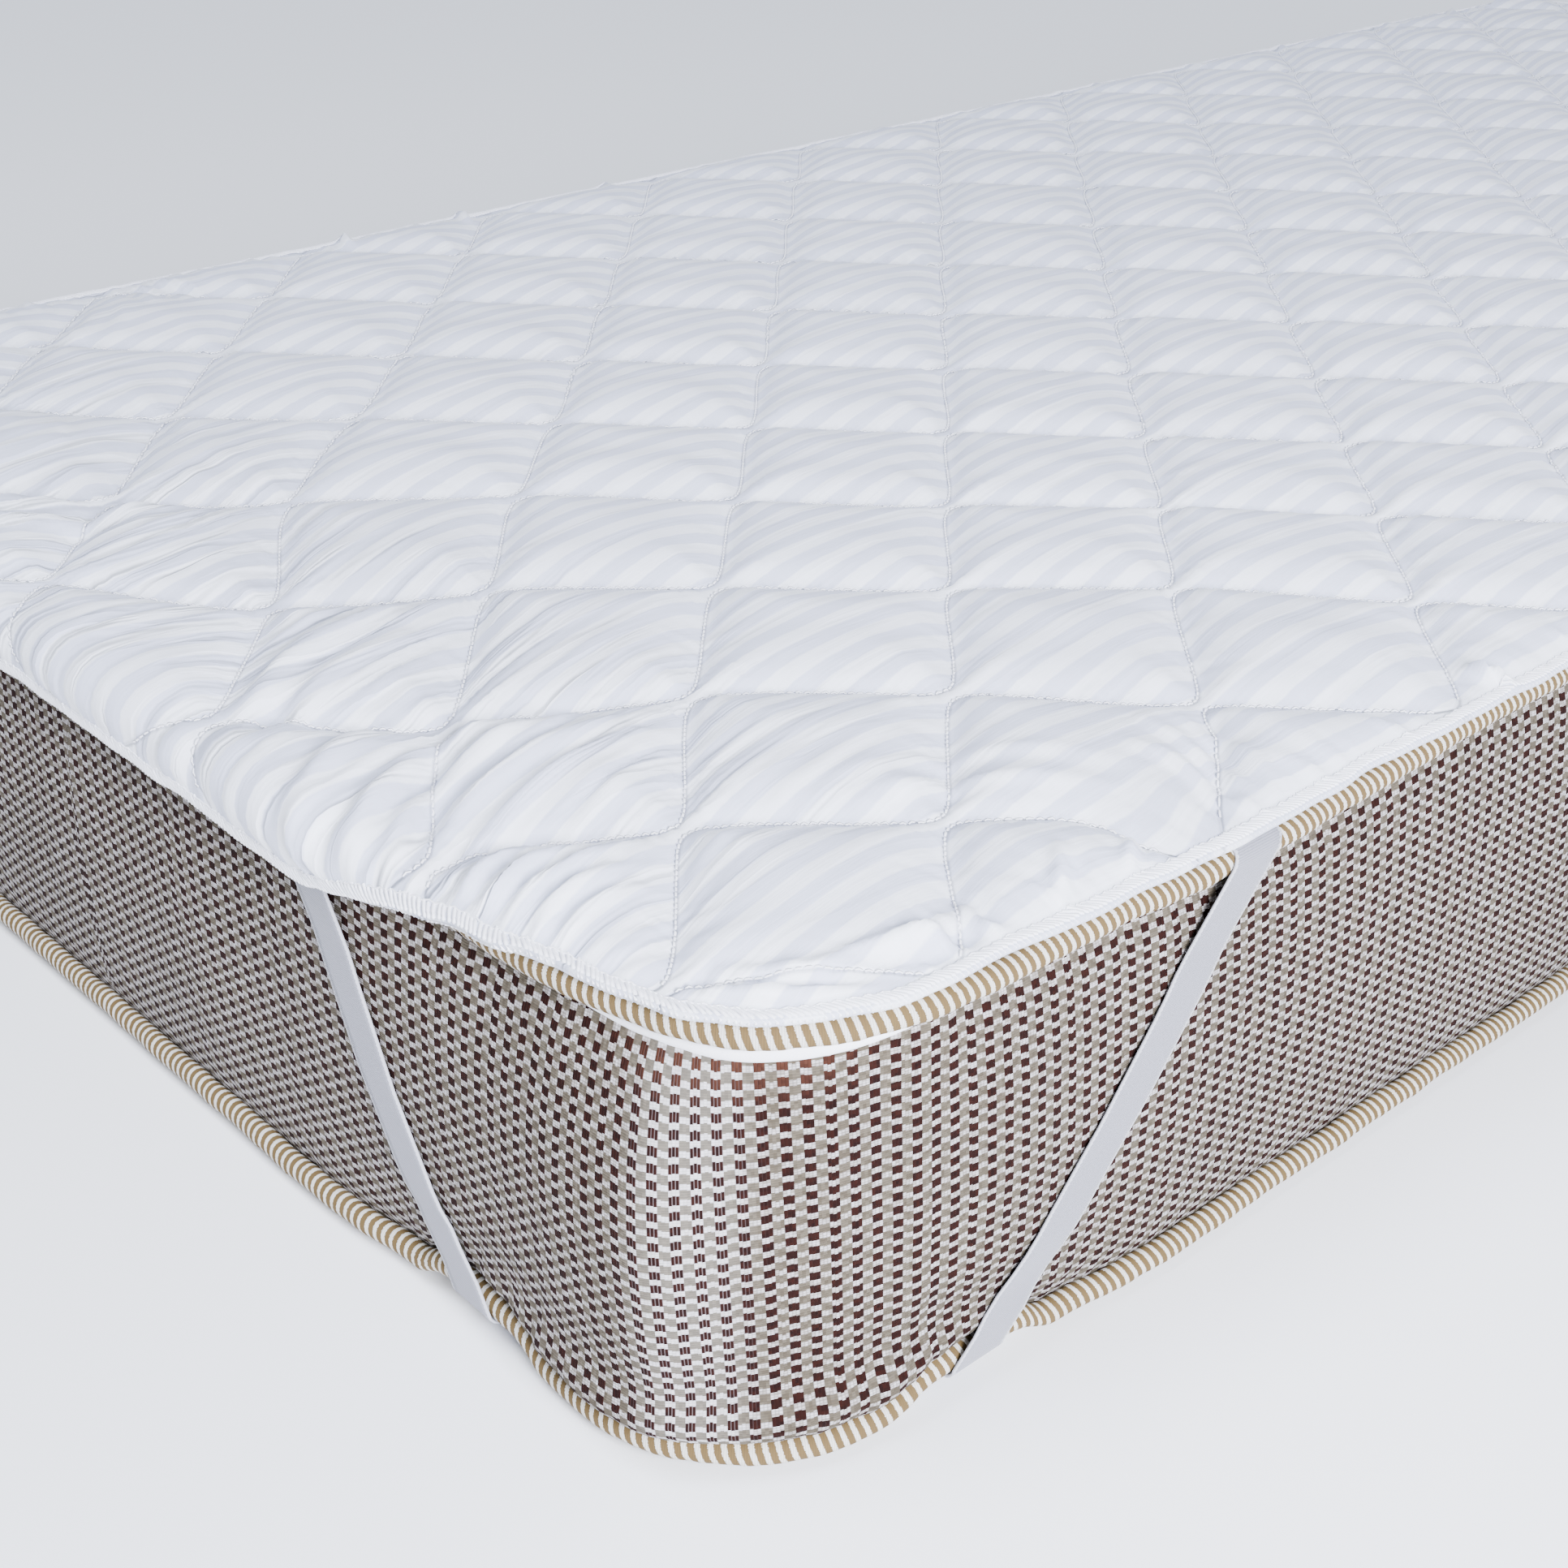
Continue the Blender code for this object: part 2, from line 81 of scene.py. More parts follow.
def cloth_piece(name, points, faces, uv=None, face_uv=None, material=None):
    """A smooth mesh object; uv is per point, face_uv per face corner."""
    points = np.asarray(points, np.float32).reshape(-1, 3)
    faces = np.asarray(faces, np.int32)
    sides = faces.shape[1]
    mesh = bpy.data.meshes.new(name)
    mesh.vertices.add(len(points))
    mesh.vertices.foreach_set("co", points.ravel())
    mesh.loops.add(faces.size)
    mesh.loops.foreach_set("vertex_index", faces.ravel())
    mesh.polygons.add(len(faces))
    mesh.polygons.foreach_set("loop_start", np.arange(0, faces.size, sides, dtype=np.int32))
    layer = mesh.uv_layers.new(name="UVMap")
    if face_uv is None:
        face_uv = np.asarray(uv, np.float32).reshape(-1, 2)[faces.ravel()]
    layer.data.foreach_set("uv", np.asarray(face_uv, np.float32).ravel())
    mesh.update()
    mesh.validate()
    mesh.shade_smooth()
    if material:
        mesh.materials.append(material)
    piece = bpy.data.objects.new(name, mesh)
    bpy.context.scene.collection.objects.link(piece)
    print(f"{name}: {len(points)} points, {len(faces)} faces")
    return piece


def ring_uvs(along, across):
    """UVs of closed rings: along has one value more than a ring has points, across one a ring."""
    count = len(along) - 1
    columns = np.tile(np.arange(count), len(across) - 1)
    low, high = np.repeat(across[:-1], count), np.repeat(across[1:], count)
    corners = ((0, low), (1, low), (1, high), (0, high))
    return np.stack([np.column_stack([along[columns + step], level]) for step, level in corners], 1)


def runs_of(line):
    """Distance from a line's first point to each of its points."""
    return np.append(0, np.cumsum(np.linalg.norm(np.diff(line, axis=0), axis=1)))


def places_on(line, run, at):
    """Points at distances along a line."""
    return np.column_stack([np.interp(at, run, column) for column in line.T])


def only(piece):
    """Select this piece and nothing else."""
    bpy.ops.object.select_all(action="DESELECT")
    piece.select_set(True)
    bpy.context.view_layer.objects.active = piece


def ripple(run, shortest, longest, seed, waves=5):
    """A smooth irregular wave, about -1 to 1, from a few waves of mixed lengths."""
    draw = np.random.default_rng(seed)
    lengths = np.geomspace(shortest, longest, waves)
    total = np.zeros_like(np.asarray(run, float))
    for length in lengths:
        total = total + np.sin(2 * pi * run / length + draw.uniform(0, 2 * pi))
    return total / waves ** 0.5


# %% [markdown]
# Colours are written as they are seen, in sRGB hex, and turned to linear light by one function.
# One small function adds a shader node with its settings and links.

# %% Colour and node helpers
def linear(colour):
    """Linear RGBA of an sRGB hex colour."""
    channels = [int(colour[i:i + 2], 16) / 255 for i in (1, 3, 5)]
    return (*[c / 12.92 if c <= 0.04045 else ((c + 0.055) / 1.055) ** 2.4 for c in channels], 1.0)


def add_node(tree, kind, inputs=None, **settings):
    """Add a node; an input takes a value, a colour, or another node's output socket."""
    node = tree.nodes.new(kind)
    for name, value in settings.items():
        setattr(node, name, value)
    for name, value in (inputs or {}).items():
        if isinstance(value, bpy.types.NodeSocket):
            tree.links.new(value, node.inputs[name])
        else:
            node.inputs[name].default_value = value
    return node


def new_material(name, **values):
    """A material with an empty Principled shader; values are set on the shader's own sockets."""
    material = bpy.data.materials.new(name)
    material.use_nodes = True
    shader = material.node_tree.nodes["Principled BSDF"]
    for socket, value in values.items():
        shader.inputs[socket.replace("_", " ")].default_value = value
    return material, material.node_tree, shader


class Maths:
    """Shorthand for Math nodes in one tree."""

    def __init__(self, tree):
        self.tree = tree

    def __call__(self, operation, first, second=0.0, third=0.0, clamp=False):
        node = add_node(self.tree, "ShaderNodeMath", operation=operation, use_clamp=clamp)
        for socket, value in zip(node.inputs, (first, second, third)):
            if isinstance(value, bpy.types.NodeSocket):
                self.tree.links.new(value, socket)
            else:
                socket.default_value = value
        return node.outputs[0]


def cloth_axes(tree):
    """The UV map's two directions, in metres."""
    uv = add_node(tree, "ShaderNodeUVMap", uv_map="UVMap")
    split = add_node(tree, "ShaderNodeSeparateXYZ", {"Vector": uv.outputs["UV"]})
    return uv.outputs["UV"], split.outputs["X"], split.outputs["Y"]


def mix_colours(tree, share, first, second, blend="MIX"):
    """Mix two colours by a share; any of the three may be another node's output."""
    node = add_node(tree, "ShaderNodeMix", data_type="RGBA", blend_type=blend)
    for socket, value in ((node.inputs[0], share), (node.inputs[6], first), (node.inputs[7], second)):
        if isinstance(value, bpy.types.NodeSocket):
            tree.links.new(value, socket)
        else:
            socket.default_value = value
    return node.outputs[2]


# %% [markdown]
# The border cloth is a mattress ticking of polyester yarn: brown warp floats, grey weft floats
# and off-white ground in a check. A check pair is 8.1 mm wide and 6.2 mm high, and each square
# shows 3 yarns. The pattern is worked out from the UV map, which runs round the mattress in
# metres, so it follows the corners as real cloth does. Where the cloth is pulled tight under the top
# seam of a corner, its brown yarns open and look paler. Along the corner's upright edge over the
# foam the white shows more, and the ground, brown and grey are also painted lighter there as a
# painted highlight. Two point attributes say how much.

# %% Woven border cloth
PAIR_WIDE = 0.0081
PAIR_HIGH = 0.00615
CHECK_U = 0.0031
CHECK_V = -0.0024
CHECK_LEAN = 0.045
YARNS = 3
# How much of a pair's height the brown and grey squares take, and how uneven their ends are
BROWN_SHARE = 0.60
GREY_SHARE = 0.62
FRAY = 0.22


def woven_check():
    material, tree, shader = new_material("Woven polyester ticking", Roughness=0.9, Specular_IOR_Level=0.1)
    maths = Maths(tree)
    uv, u, v = cloth_axes(tree)
    leaning = maths("MULTIPLY_ADD", v, CHECK_LEAN, u)
    across = maths("DIVIDE", maths("SUBTRACT", leaning, CHECK_U), PAIR_WIDE / 2)
    yarn = maths("FLOOR", maths("MULTIPLY", across, YARNS))
    fray = add_node(tree, "ShaderNodeTexWhiteNoise", {"W": yarn}, noise_dimensions="1D").outputs["Value"]
    up = maths("DIVIDE", maths("SUBTRACT", v, CHECK_V), PAIR_HIGH / 2)
    up_frayed = maths("ADD", up, maths("MULTIPLY", maths("SUBTRACT", fray, 0.5), FRAY))
    odd_across = maths("FLOORED_MODULO", maths("FLOOR", across), 2.0)
    row_place = maths("FLOORED_MODULO", up_frayed, 2.0)
    grey = maths("MULTIPLY", odd_across, maths("GREATER_THAN", row_place, 2 - 2 * GREY_SHARE))
    even_across = maths("SUBTRACT", 1.0, odd_across)
    brown = maths("MULTIPLY", even_across, maths("LESS_THAN", row_place, 2 * BROWN_SHARE))
    # Paler and darker places about 110 mm apart
    patch = add_node(tree, "ShaderNodeTexNoise", {"Vector": uv, "Scale": 9.0, "Detail": 2.0})
    fleck = add_node(tree, "ShaderNodeTexWhiteNoise", {"W": maths("ADD", yarn, maths("MULTIPLY", maths(
        "FLOOR", maths("MULTIPLY", up, 2.0)), 7.31))}, noise_dimensions="1D").outputs["Value"]
    warp = maths("ABSOLUTE", maths("SINE", maths("MULTIPLY", across, YARNS * pi)))
    weft = maths("ABSOLUTE", maths("SINE", maths("MULTIPLY", up, YARNS * pi)))
    # Off-white ground, with painted shade between the yarns
    ground = mix_colours(tree, fleck, linear("#958e87"), linear("#cbc7c8"))
    ground = mix_colours(tree, maths("MULTIPLY", maths("SUBTRACT", 1.0, maths("MULTIPLY", warp, weft)), 0.65),
                         ground, linear("#57514b"))
    # Brown yarn, and what the corner does to both
    dark = mix_colours(tree, fleck, linear("#150504"), linear("#240c07"))
    dark = mix_colours(tree, maths("MULTIPLY", maths("SUBTRACT", 1.0, warp), 0.3), dark, linear("#2b1913"))
    # The stretch along the corner's upright edge, plus a painted highlight there: ground, brown and grey are
    # mixed lighter
    stretch_highlight = add_node(tree, "ShaderNodeAttribute", attribute_name="stretch_highlight").outputs["Fac"]
    ground = mix_colours(tree, maths("MULTIPLY", stretch_highlight, 0.4), ground, linear("#dedce0"))
    dark = mix_colours(tree, maths("MULTIPLY", stretch_highlight, maths("POWER", maths("SUBTRACT", 1.0, warp), 3.0)),
                       dark, linear("#75696a"))
    opened = add_node(tree, "ShaderNodeAttribute", attribute_name="opened").outputs["Fac"]
    dark = mix_colours(tree, maths("MULTIPLY", opened, maths("MULTIPLY_ADD", fleck, 0.4, 0.6)), dark,
                       linear("#462a1f"))
    # Grey yarn
    dull = mix_colours(tree, fleck, linear("#4a4236"), linear("#60584b"))
    dull = mix_colours(tree, maths("MULTIPLY", maths("SUBTRACT", 1.0, weft), 0.3), dull, linear("#48453f"))
    dull = mix_colours(tree, maths("MULTIPLY", stretch_highlight, 0.25), dull, linear("#8d8982"))
    colour = mix_colours(tree, grey, ground, dull)
    colour = mix_colours(tree, brown, colour, dark)
    colour = mix_colours(tree, 0.25, colour, maths("ADD", 0.55, patch.outputs["Fac"]), blend="MULTIPLY")
    tree.links.new(colour, shader.inputs["Base Color"])
    # Warp yarns stand over the brown squares, weft yarns over the rest
    weft_over = maths("MULTIPLY", weft, maths("SUBTRACT", 1.0, brown))
    warp_over = maths("MULTIPLY", warp, maths("ADD", brown, maths("MULTIPLY", maths(
        "SUBTRACT", 1.0, grey), 0.4)), clamp=True)
    height = maths("MAXIMUM", warp_over, weft_over)
    bump = add_node(tree, "ShaderNodeBump", {"Strength": 0.55, "Distance": 0.0005, "Height": height})
    tree.links.new(bump.outputs["Normal"], shader.inputs["Normal"])
    return material


BORDER_CLOTH = woven_check()
print("made", BORDER_CLOTH.name)

# %% [markdown]
# The panels above and below are hidden by the protector and by the bed. They get a plain ticking:
# an off-white cotton-polyester cloth with a fine twill.

# %% Plain ticking
# A twill line every 1.2 mm, coarser than the real one so that it shows
TWILL = 0.0012


def plain_ticking():
    """The cloth of the two panels."""
    material, tree, shader = new_material("Plain woven ticking", Roughness=0.8)
    maths = Maths(tree)
    where = add_node(tree, "ShaderNodeTexCoord").outputs["Object"]
    split = add_node(tree, "ShaderNodeSeparateXYZ", {"Vector": where})
    slant = maths("ADD", split.outputs["X"], split.outputs["Y"])
    twill = maths("ABSOLUTE", maths("SINE", maths("MULTIPLY", slant, pi / TWILL)))
    # The twill's valleys are painted darker: painted shade of its ribs
    colour = mix_colours(tree, twill, linear("#d8d4cd"), linear("#ebe8e3"))
    tree.links.new(colour, shader.inputs["Base Color"])
    bump = add_node(tree, "ShaderNodeBump", {"Strength": 0.4, "Distance": 0.0003, "Height": twill})
    tree.links.new(bump.outputs["Normal"], shader.inputs["Normal"])
    return material


PANEL_CLOTH = plain_ticking()
print("made", PANEL_CLOTH.name)

# %% [markdown]
# Piping is a cotton cord rolled into a strip of striped cloth and sewn into the edge seam. The
# stripes lie across the cord, tan and cream, the tan a little the wider. Its UV map has the run
# along the cord in metres first, and the way round the cord second.

# %% Striped piping cloth
STRIPE_PAIR = 0.0048
STRIPE_LEAN = 0.0016
STRIPE_WANDER = 0.0012
# Yarns every 0.9 mm, coarser than the real ones so that they show
PIPING_YARN = 0.0009


def striped_piping():
    """The strip of cloth round the cord."""
    material, tree, shader = new_material("Striped cotton piping", Roughness=0.85, Specular_IOR_Level=0.25)
    maths = Maths(tree)
    uv, u, v = cloth_axes(tree)
    wander = add_node(tree, "ShaderNodeTexNoise", {"Vector": uv, "Scale": 60.0, "Detail": 2.0})
    place = maths("ADD", u, maths("MULTIPLY", maths("SINE", maths("MULTIPLY", v, 2 * pi)), STRIPE_LEAN))
    wandered = maths("MULTIPLY", maths("SUBTRACT", wander.outputs["Fac"], 0.5), STRIPE_WANDER)
    place = maths("ADD", place, wandered)
    wave = maths("SINE", maths("MULTIPLY", place, 2 * pi / STRIPE_PAIR))
    tan = maths("MULTIPLY_ADD", wave, 4.0, 1.3, clamp=True)
    yarn = maths("ABSOLUTE", maths("SINE", maths("MULTIPLY", u, pi / PIPING_YARN)))
    colour = mix_colours(tree, tan, linear("#d6d2c8"), linear("#64502f"))
    # Painted shade between the yarns
    colour = mix_colours(tree, maths("MULTIPLY", maths("SUBTRACT", 1.0, yarn), 0.35), colour,
                         linear("#4c412e"))
    tree.links.new(colour, shader.inputs["Base Color"])
    height = maths("ADD", maths("MULTIPLY", yarn, 0.3), maths("MULTIPLY", tan, 0.6))
    bump = add_node(tree, "ShaderNodeBump", {"Strength": 0.5, "Distance": 0.0004, "Height": height})
    tree.links.new(bump.outputs["Normal"], shader.inputs["Normal"])
    return material


PIPING_CLOTH = striped_piping()
print("made", PIPING_CLOTH.name)

# %% [markdown]
# The protector's cover is white cotton sateen with a self stripe: bands of satin weave, which
# shine, beside bands of plain weave, which look greyer. A pair of bands is 18.3 mm. Its UV map is
# the flat cloth in metres, so the stripes bend with each puffed cell and fold.

# %% White satin stripe
# The quilting's rows repeat every 151 mm and swing 34 mm to each side; the shader needs them for
# the shade in the channels
QUILT_PITCH = 0.151
QUILT_WAVE = 0.0340
QUILT_ROUNDING = 0.93
QUILT_X, QUILT_Y = -0.775, -0.420
GROOVE_WIDTH = 0.0013
BAND_PAIR = 0.0183
BAND_PHASE = 0.0086


def satin_stripe():
    """The cover: satin bands, quilting channels, yarns and creases."""
    material, tree, shader = new_material("White cotton sateen stripe", Sheen_Weight=0.12,
                                          Sheen_Roughness=0.4)
    maths = Maths(tree)
    uv, u, v = cloth_axes(tree)
    wave = maths("SINE", maths("MULTIPLY", maths("SUBTRACT", v, BAND_PHASE), 2 * pi / BAND_PAIR))
    band = maths("MULTIPLY_ADD", wave, 3.0, 0.5, clamp=True)
    soft = add_node(tree, "ShaderNodeTexNoise", {"Vector": uv, "Scale": 40.0, "Detail": 3.0})
    turn = maths("MULTIPLY", maths("SUBTRACT", u, QUILT_X), 2 * pi / QUILT_PITCH)
    wavy = maths("ARCSINE", maths("MULTIPLY", maths("COSINE", turn), QUILT_ROUNDING))
    wavy = maths("MULTIPLY", wavy, QUILT_WAVE / np.arcsin(QUILT_ROUNDING))
    from_low = maths("SUBTRACT", v, QUILT_Y)
    even_rows = maths("PINGPONG", maths("SUBTRACT", from_low, wavy), QUILT_PITCH / 2)
    odd_rows = maths("SUBTRACT", maths("ADD", from_low, wavy), QUILT_PITCH / 2)
    odd_rows = maths("PINGPONG", odd_rows, QUILT_PITCH / 2)
    from_stitch = maths("DIVIDE", maths("MINIMUM", even_rows, odd_rows), GROOVE_WIDTH)
    groove = maths("EXPONENT", maths("MULTIPLY", maths("MULTIPLY", from_stitch, from_stitch), -1.0))
    # Plain bands are painted greyer than satin bands: painted sheen, on top of their higher roughness set
    # below
    colour = mix_colours(tree, band, linear("#f7f9ff"), linear("#d5d9ea"))
    # Painted shade along the quilting channels
    colour = mix_colours(tree, maths("MULTIPLY", groove, 0.38), colour, linear("#a3a6b4"))
    # Painted shade on the cloth under the overlocked loops, and on the rim
    shade_under_hem = add_node(tree, "ShaderNodeAttribute", attribute_name="shade_under_hem").outputs["Fac"]
    colour = mix_colours(tree, maths("MULTIPLY", shade_under_hem, 0.4), colour, linear("#a3a6b2"))
    tree.links.new(colour, shader.inputs["Base Color"])
    tree.links.new(maths("MULTIPLY_ADD", band, 0.22, 0.46), shader.inputs["Roughness"])
    # Yarns every 1.1 mm, coarser than the real 0.2 mm so that they show
    yarns = add_node(tree, "ShaderNodeTexNoise", {"Vector": add_node(
        tree, "ShaderNodeMapping", {"Vector": uv, "Scale": (90.0, 900.0, 1.0)}).outputs["Vector"],
        "Scale": 1.0, "Detail": 2.0})
    yarn_height = maths("MULTIPLY", yarns.outputs["Fac"], 0.2)
    height = maths("ADD", yarn_height, maths("MULTIPLY", soft.outputs["Fac"], 0.4))
    # Fine creases about 14 mm apart run with the stripes, deeper where the straps drag the cloth
    creases = add_node(tree, "ShaderNodeTexNoise", {"Vector": add_node(
        tree, "ShaderNodeMapping", {"Vector": uv, "Rotation": (0.0, 0.0, 0.10), "Scale": (8.0, 70.0, 1.0)}
        ).outputs["Vector"], "Scale": 1.0, "Detail": 2.0, "Distortion": 0.6})
    from_crest = maths("ABSOLUTE", maths("MULTIPLY_ADD", creases.outputs["Fac"], 4.0, -2.0))
    crest = maths("MAXIMUM", maths("SUBTRACT", 1.0, from_crest), 0.0)
    pulled = add_node(tree, "ShaderNodeAttribute", attribute_name="pulled").outputs["Fac"]
    crease_depth = maths("MULTIPLY_ADD", pulled, 4.5, 1.2)
    height = maths("ADD", height, maths("MULTIPLY", creases.outputs["Fac"], crease_depth))
    height = maths("ADD", height, maths("MULTIPLY", maths("MULTIPLY", crest, crest), maths(
        "MULTIPLY_ADD", pulled, 0.9, 0.25)))
    height = maths("SUBTRACT", height, maths("MULTIPLY", groove, 1.6))
    bump = add_node(tree, "ShaderNodeBump", {"Strength": 0.8, "Distance": 0.0008, "Height": height})
    tree.links.new(bump.outputs["Normal"], shader.inputs["Normal"])
    return material


PAD_CLOTH = satin_stripe()
print("made", PAD_CLOTH.name)

# %% [markdown]
# Sewing thread is spun polyester: matt, a little fuzzy, and pure white. The same thread makes the
# overlocked hem and the quilting. The elastic is knitted over rubber, ribbed across, with a
# denser bright edge on each side.

# %% Thread and elastic
def sewing_thread():
    """Thread of the hem and the quilting."""
    material, tree, shader = new_material("Spun polyester thread", Roughness=0.85, Sheen_Weight=0.3)
    where = add_node(tree, "ShaderNodeTexCoord").outputs["Object"]
    fuzz = add_node(tree, "ShaderNodeTexNoise", {"Vector": where, "Scale": 900.0, "Detail": 2.0})
    tree.links.new(mix_colours(tree, fuzz.outputs["Fac"], linear("#eeeef6"), linear("#fdfdff")),
                   shader.inputs["Base Color"])
    bump = add_node(tree, "ShaderNodeBump", {"Strength": 0.4, "Distance": 0.0003,
                                             "Height": fuzz.outputs["Fac"]})
    tree.links.new(bump.outputs["Normal"], shader.inputs["Normal"])
    return material


STRAP_WIDTH = 0.022
RIB = 0.0011
# The bright edge is 0.6 to 1.2 mm wide, with a tooth every 2 mm
EDGE, TOOTH = 0.0006, 0.0020


def ribbed_elastic():
    """Cross ribs, with a bright toothed edge on each side."""
    material, tree, shader = new_material("Knitted white elastic", Roughness=0.75, Sheen_Weight=0.2)
    maths = Maths(tree)
    uv, u, v = cloth_axes(tree)
    from_edge = maths("MINIMUM", u, maths("SUBTRACT", STRAP_WIDTH, u))
    rib = maths("ABSOLUTE", maths("SINE", maths("MULTIPLY", v, pi / RIB)))
    tooth = maths("MULTIPLY", maths("ABSOLUTE", maths("SINE", maths("MULTIPLY", v, pi / TOOTH))), EDGE)
    edge = maths("LESS_THAN", from_edge, maths("ADD", tooth, EDGE))
    grain = add_node(tree, "ShaderNodeTexNoise", {"Vector": uv, "Scale": 1400.0, "Detail": 1.0})
    shade = maths("MULTIPLY", maths("ADD", rib, grain.outputs["Fac"]), 0.5)
    colour = mix_colours(tree, shade, linear("#74747c"), linear("#92929b"))
    colour = mix_colours(tree, edge, colour, linear("#b4b4bb"))
    tree.links.new(colour, shader.inputs["Base Color"])
    bump = add_node(tree, "ShaderNodeBump", {"Strength": 0.5, "Distance": 0.0003,
                                             "Height": maths("MAXIMUM", rib, edge)})
    tree.links.new(bump.outputs["Normal"], shader.inputs["Normal"])
    return material


THREAD = sewing_thread()
ELASTIC = ribbed_elastic()
print("made", THREAD.name, "and", ELASTIC.name)

# %% [markdown]
# Everything at the side of the mattress is placed by its run: the distance along the rounded
# outline, starting at the middle of the low X end. The sizes are the CAD model's.

# %% Outline of the mattress
LENGTH, WIDTH, HEIGHT = 1.900, 0.900, 0.205
CORNER_RADIUS = 0.100
HALF_LENGTH, HALF_WIDTH = LENGTH / 2, WIDTH / 2
ARC_START = HALF_WIDTH - CORNER_RADIUS
ARC_LENGTH = CORNER_RADIUS * pi / 2
LONG_START = ARC_START + ARC_LENGTH
QUARTER_RUN = LONG_START + HALF_LENGTH - CORNER_RADIUS
CORNERS = np.array([(-1, -1), (1, -1), (1, 1), (-1, 1)])
# Where the middle of each strap's legs crosses the cords, from the mattress's square corner
LONG_LEG_TOP, LONG_LEG_BOTTOM = 0.267, 0.126
SHORT_LEG_TOP, SHORT_LEG_BOTTOM = 0.250, 0.153
# A strap notches the bottom edge there: runs of both notches, how far it goes up and in, how wide
NOTCHES = (HALF_WIDTH - SHORT_LEG_BOTTOM, LONG_START + LONG_LEG_BOTTOM - CORNER_RADIUS)
LIFT, LIFT_REACH = 0.009, 0.036
DRAW_IN, DRAW_IN_REACH = 0.007, 0.075
FINE_REACH = 0.45


def quarter_of(run):
    """Which corner a run belongs to, and the run from the middle of that corner's short side."""
    quarter = np.floor(run / QUARTER_RUN).astype(int) % 4
    s = np.mod(run, QUARTER_RUN)
    return quarter, np.where(quarter % 2 == 1, QUARTER_RUN - s, s)


def side_place(run, out, z):
    """World points beside the mattress, at a distance outside its outline."""
    quarter, s = quarter_of(run)
    signs = CORNERS[quarter]
    angle = pi + np.clip((s - ARC_START) / CORNER_RADIUS, 0, pi / 2)
    a = CORNER_RADIUS * (1 + np.cos(angle)) + np.maximum(0, s - LONG_START)
    b = CORNER_RADIUS * (1 + np.sin(angle)) + np.maximum(0, ARC_START - s)
    x = signs[..., 0] * (HALF_LENGTH - a - np.cos(angle) * out)
    y = signs[..., 1] * (HALF_WIDTH - b - np.sin(angle) * out)
    return np.stack(np.broadcast_arrays(x, y, z), -1)


def side_runs(fine, coarse):
    """Runs once around, fine near the corners and coarse along the middles of the long sides."""
    middle = HALF_LENGTH - FINE_REACH
    near = np.arange(0, QUARTER_RUN - middle, fine)
    far = np.linspace(QUARTER_RUN - middle, QUARTER_RUN, max(2, int(middle / coarse)))[:-1]
    quarter = np.concatenate([near, far])
    back = 2 * QUARTER_RUN - np.append(quarter, QUARTER_RUN)[::-1][:-1]
    half = np.concatenate([quarter, back])
    return np.concatenate([half, half + 2 * QUARTER_RUN])


def notch_share(s, reach, power):
    """1 at a notch, falling to 0 past its reach."""
    return np.maximum(*[np.exp(-((s - notch) / reach) ** power) for notch in NOTCHES])


def lift(s):
    """How far the bottom edge is pulled up."""
    return LIFT * notch_share(s, LIFT_REACH, 6)


def draw_in(s):
    """How far the bottom edge is pulled in."""
    return DRAW_IN * notch_share(s, DRAW_IN_REACH, 4)


print("once around is", round(4 * QUARTER_RUN, 3), "m")

# %% [markdown]
# The top edge is not quite square above the bottom one: the straps pull it in beside the corner
# on the short side, and down on the long side. The table was read off the photograph, and is
# smoothed so that the cord has no kinks.

# %% How the top edge gives
TOP_GIVE = np.array([
    # run, cord moved out, cord moved up, hem moved in
    (0.240, 0.0000, 0.0000, 0.0000),
    (0.300, -0.0045, 0.0000, 0.0022),
    (0.345, -0.0075, 0.0000, 0.0032),
    (0.376, -0.0090, 0.0000, 0.0030),
    (0.400, -0.0060, 0.0000, 0.0012),
    (0.427, -0.0005, 0.0000, 0.0000),
    (0.455, 0.0000, 0.0000, 0.0016),
    (0.483, 0.0000, 0.0000, 0.0014),
    (0.518, 0.0005, -0.0012, 0.0045),
    (0.560, 0.0000, -0.0028, 0.0000),
    (0.605, 0.0000, -0.0034, -0.0008),
    (0.642, 0.0000, -0.0062, -0.0030),
    (0.690, 0.0000, -0.0068, -0.0020),
    (0.740, 0.0000, -0.0045, 0.0000),
    (0.830, 0.0000, 0.0000, 0.0000),
])
# The border turns tightly at one edge of its foam, then runs out gently along the long side
CORNER_BODY = np.array([
    # run, border moved out
    (0.350, 0.0000), (0.360, 0.0006), (0.376, 0.0034), (0.390, 0.0086), (0.398, 0.0126), (0.403, 0.0134),
    (0.409, 0.0112), (0.418, 0.0070), (0.428, 0.0030), (0.440, -0.0008), (0.455, -0.0046), (0.470, -0.0066),
    (0.483, -0.0076), (0.507, -0.0052), (0.530, -0.0012), (0.550, 0.0000),
])
GIVE_RUN = np.linspace(0, QUARTER_RUN, 1400)
GIVE_SOFTENING, BODY_SOFTENING = 0.008, 0.004
BLUR_STEPS = 30


def smoothed(runs, values, softening=GIVE_SOFTENING):
    """A table's column at every GIVE_RUN, blurred along the run."""
    step = GIVE_RUN[1] - GIVE_RUN[0]
    reach = np.arange(-BLUR_STEPS, BLUR_STEPS + 1) * step
    weights = np.exp(-(reach / softening) ** 2)
    line = np.interp(GIVE_RUN, runs, values)
    return np.convolve(np.pad(line, BLUR_STEPS, mode="edge"), weights / weights.sum(), "valid")


GIVE_OUT, GIVE_UP, GIVE_HEM = (smoothed(TOP_GIVE[:, 0], TOP_GIVE[:, column]) for column in (1, 2, 3))
BODY_OUT = smoothed(CORNER_BODY[:, 0], CORNER_BODY[:, 1], softening=BODY_SOFTENING)


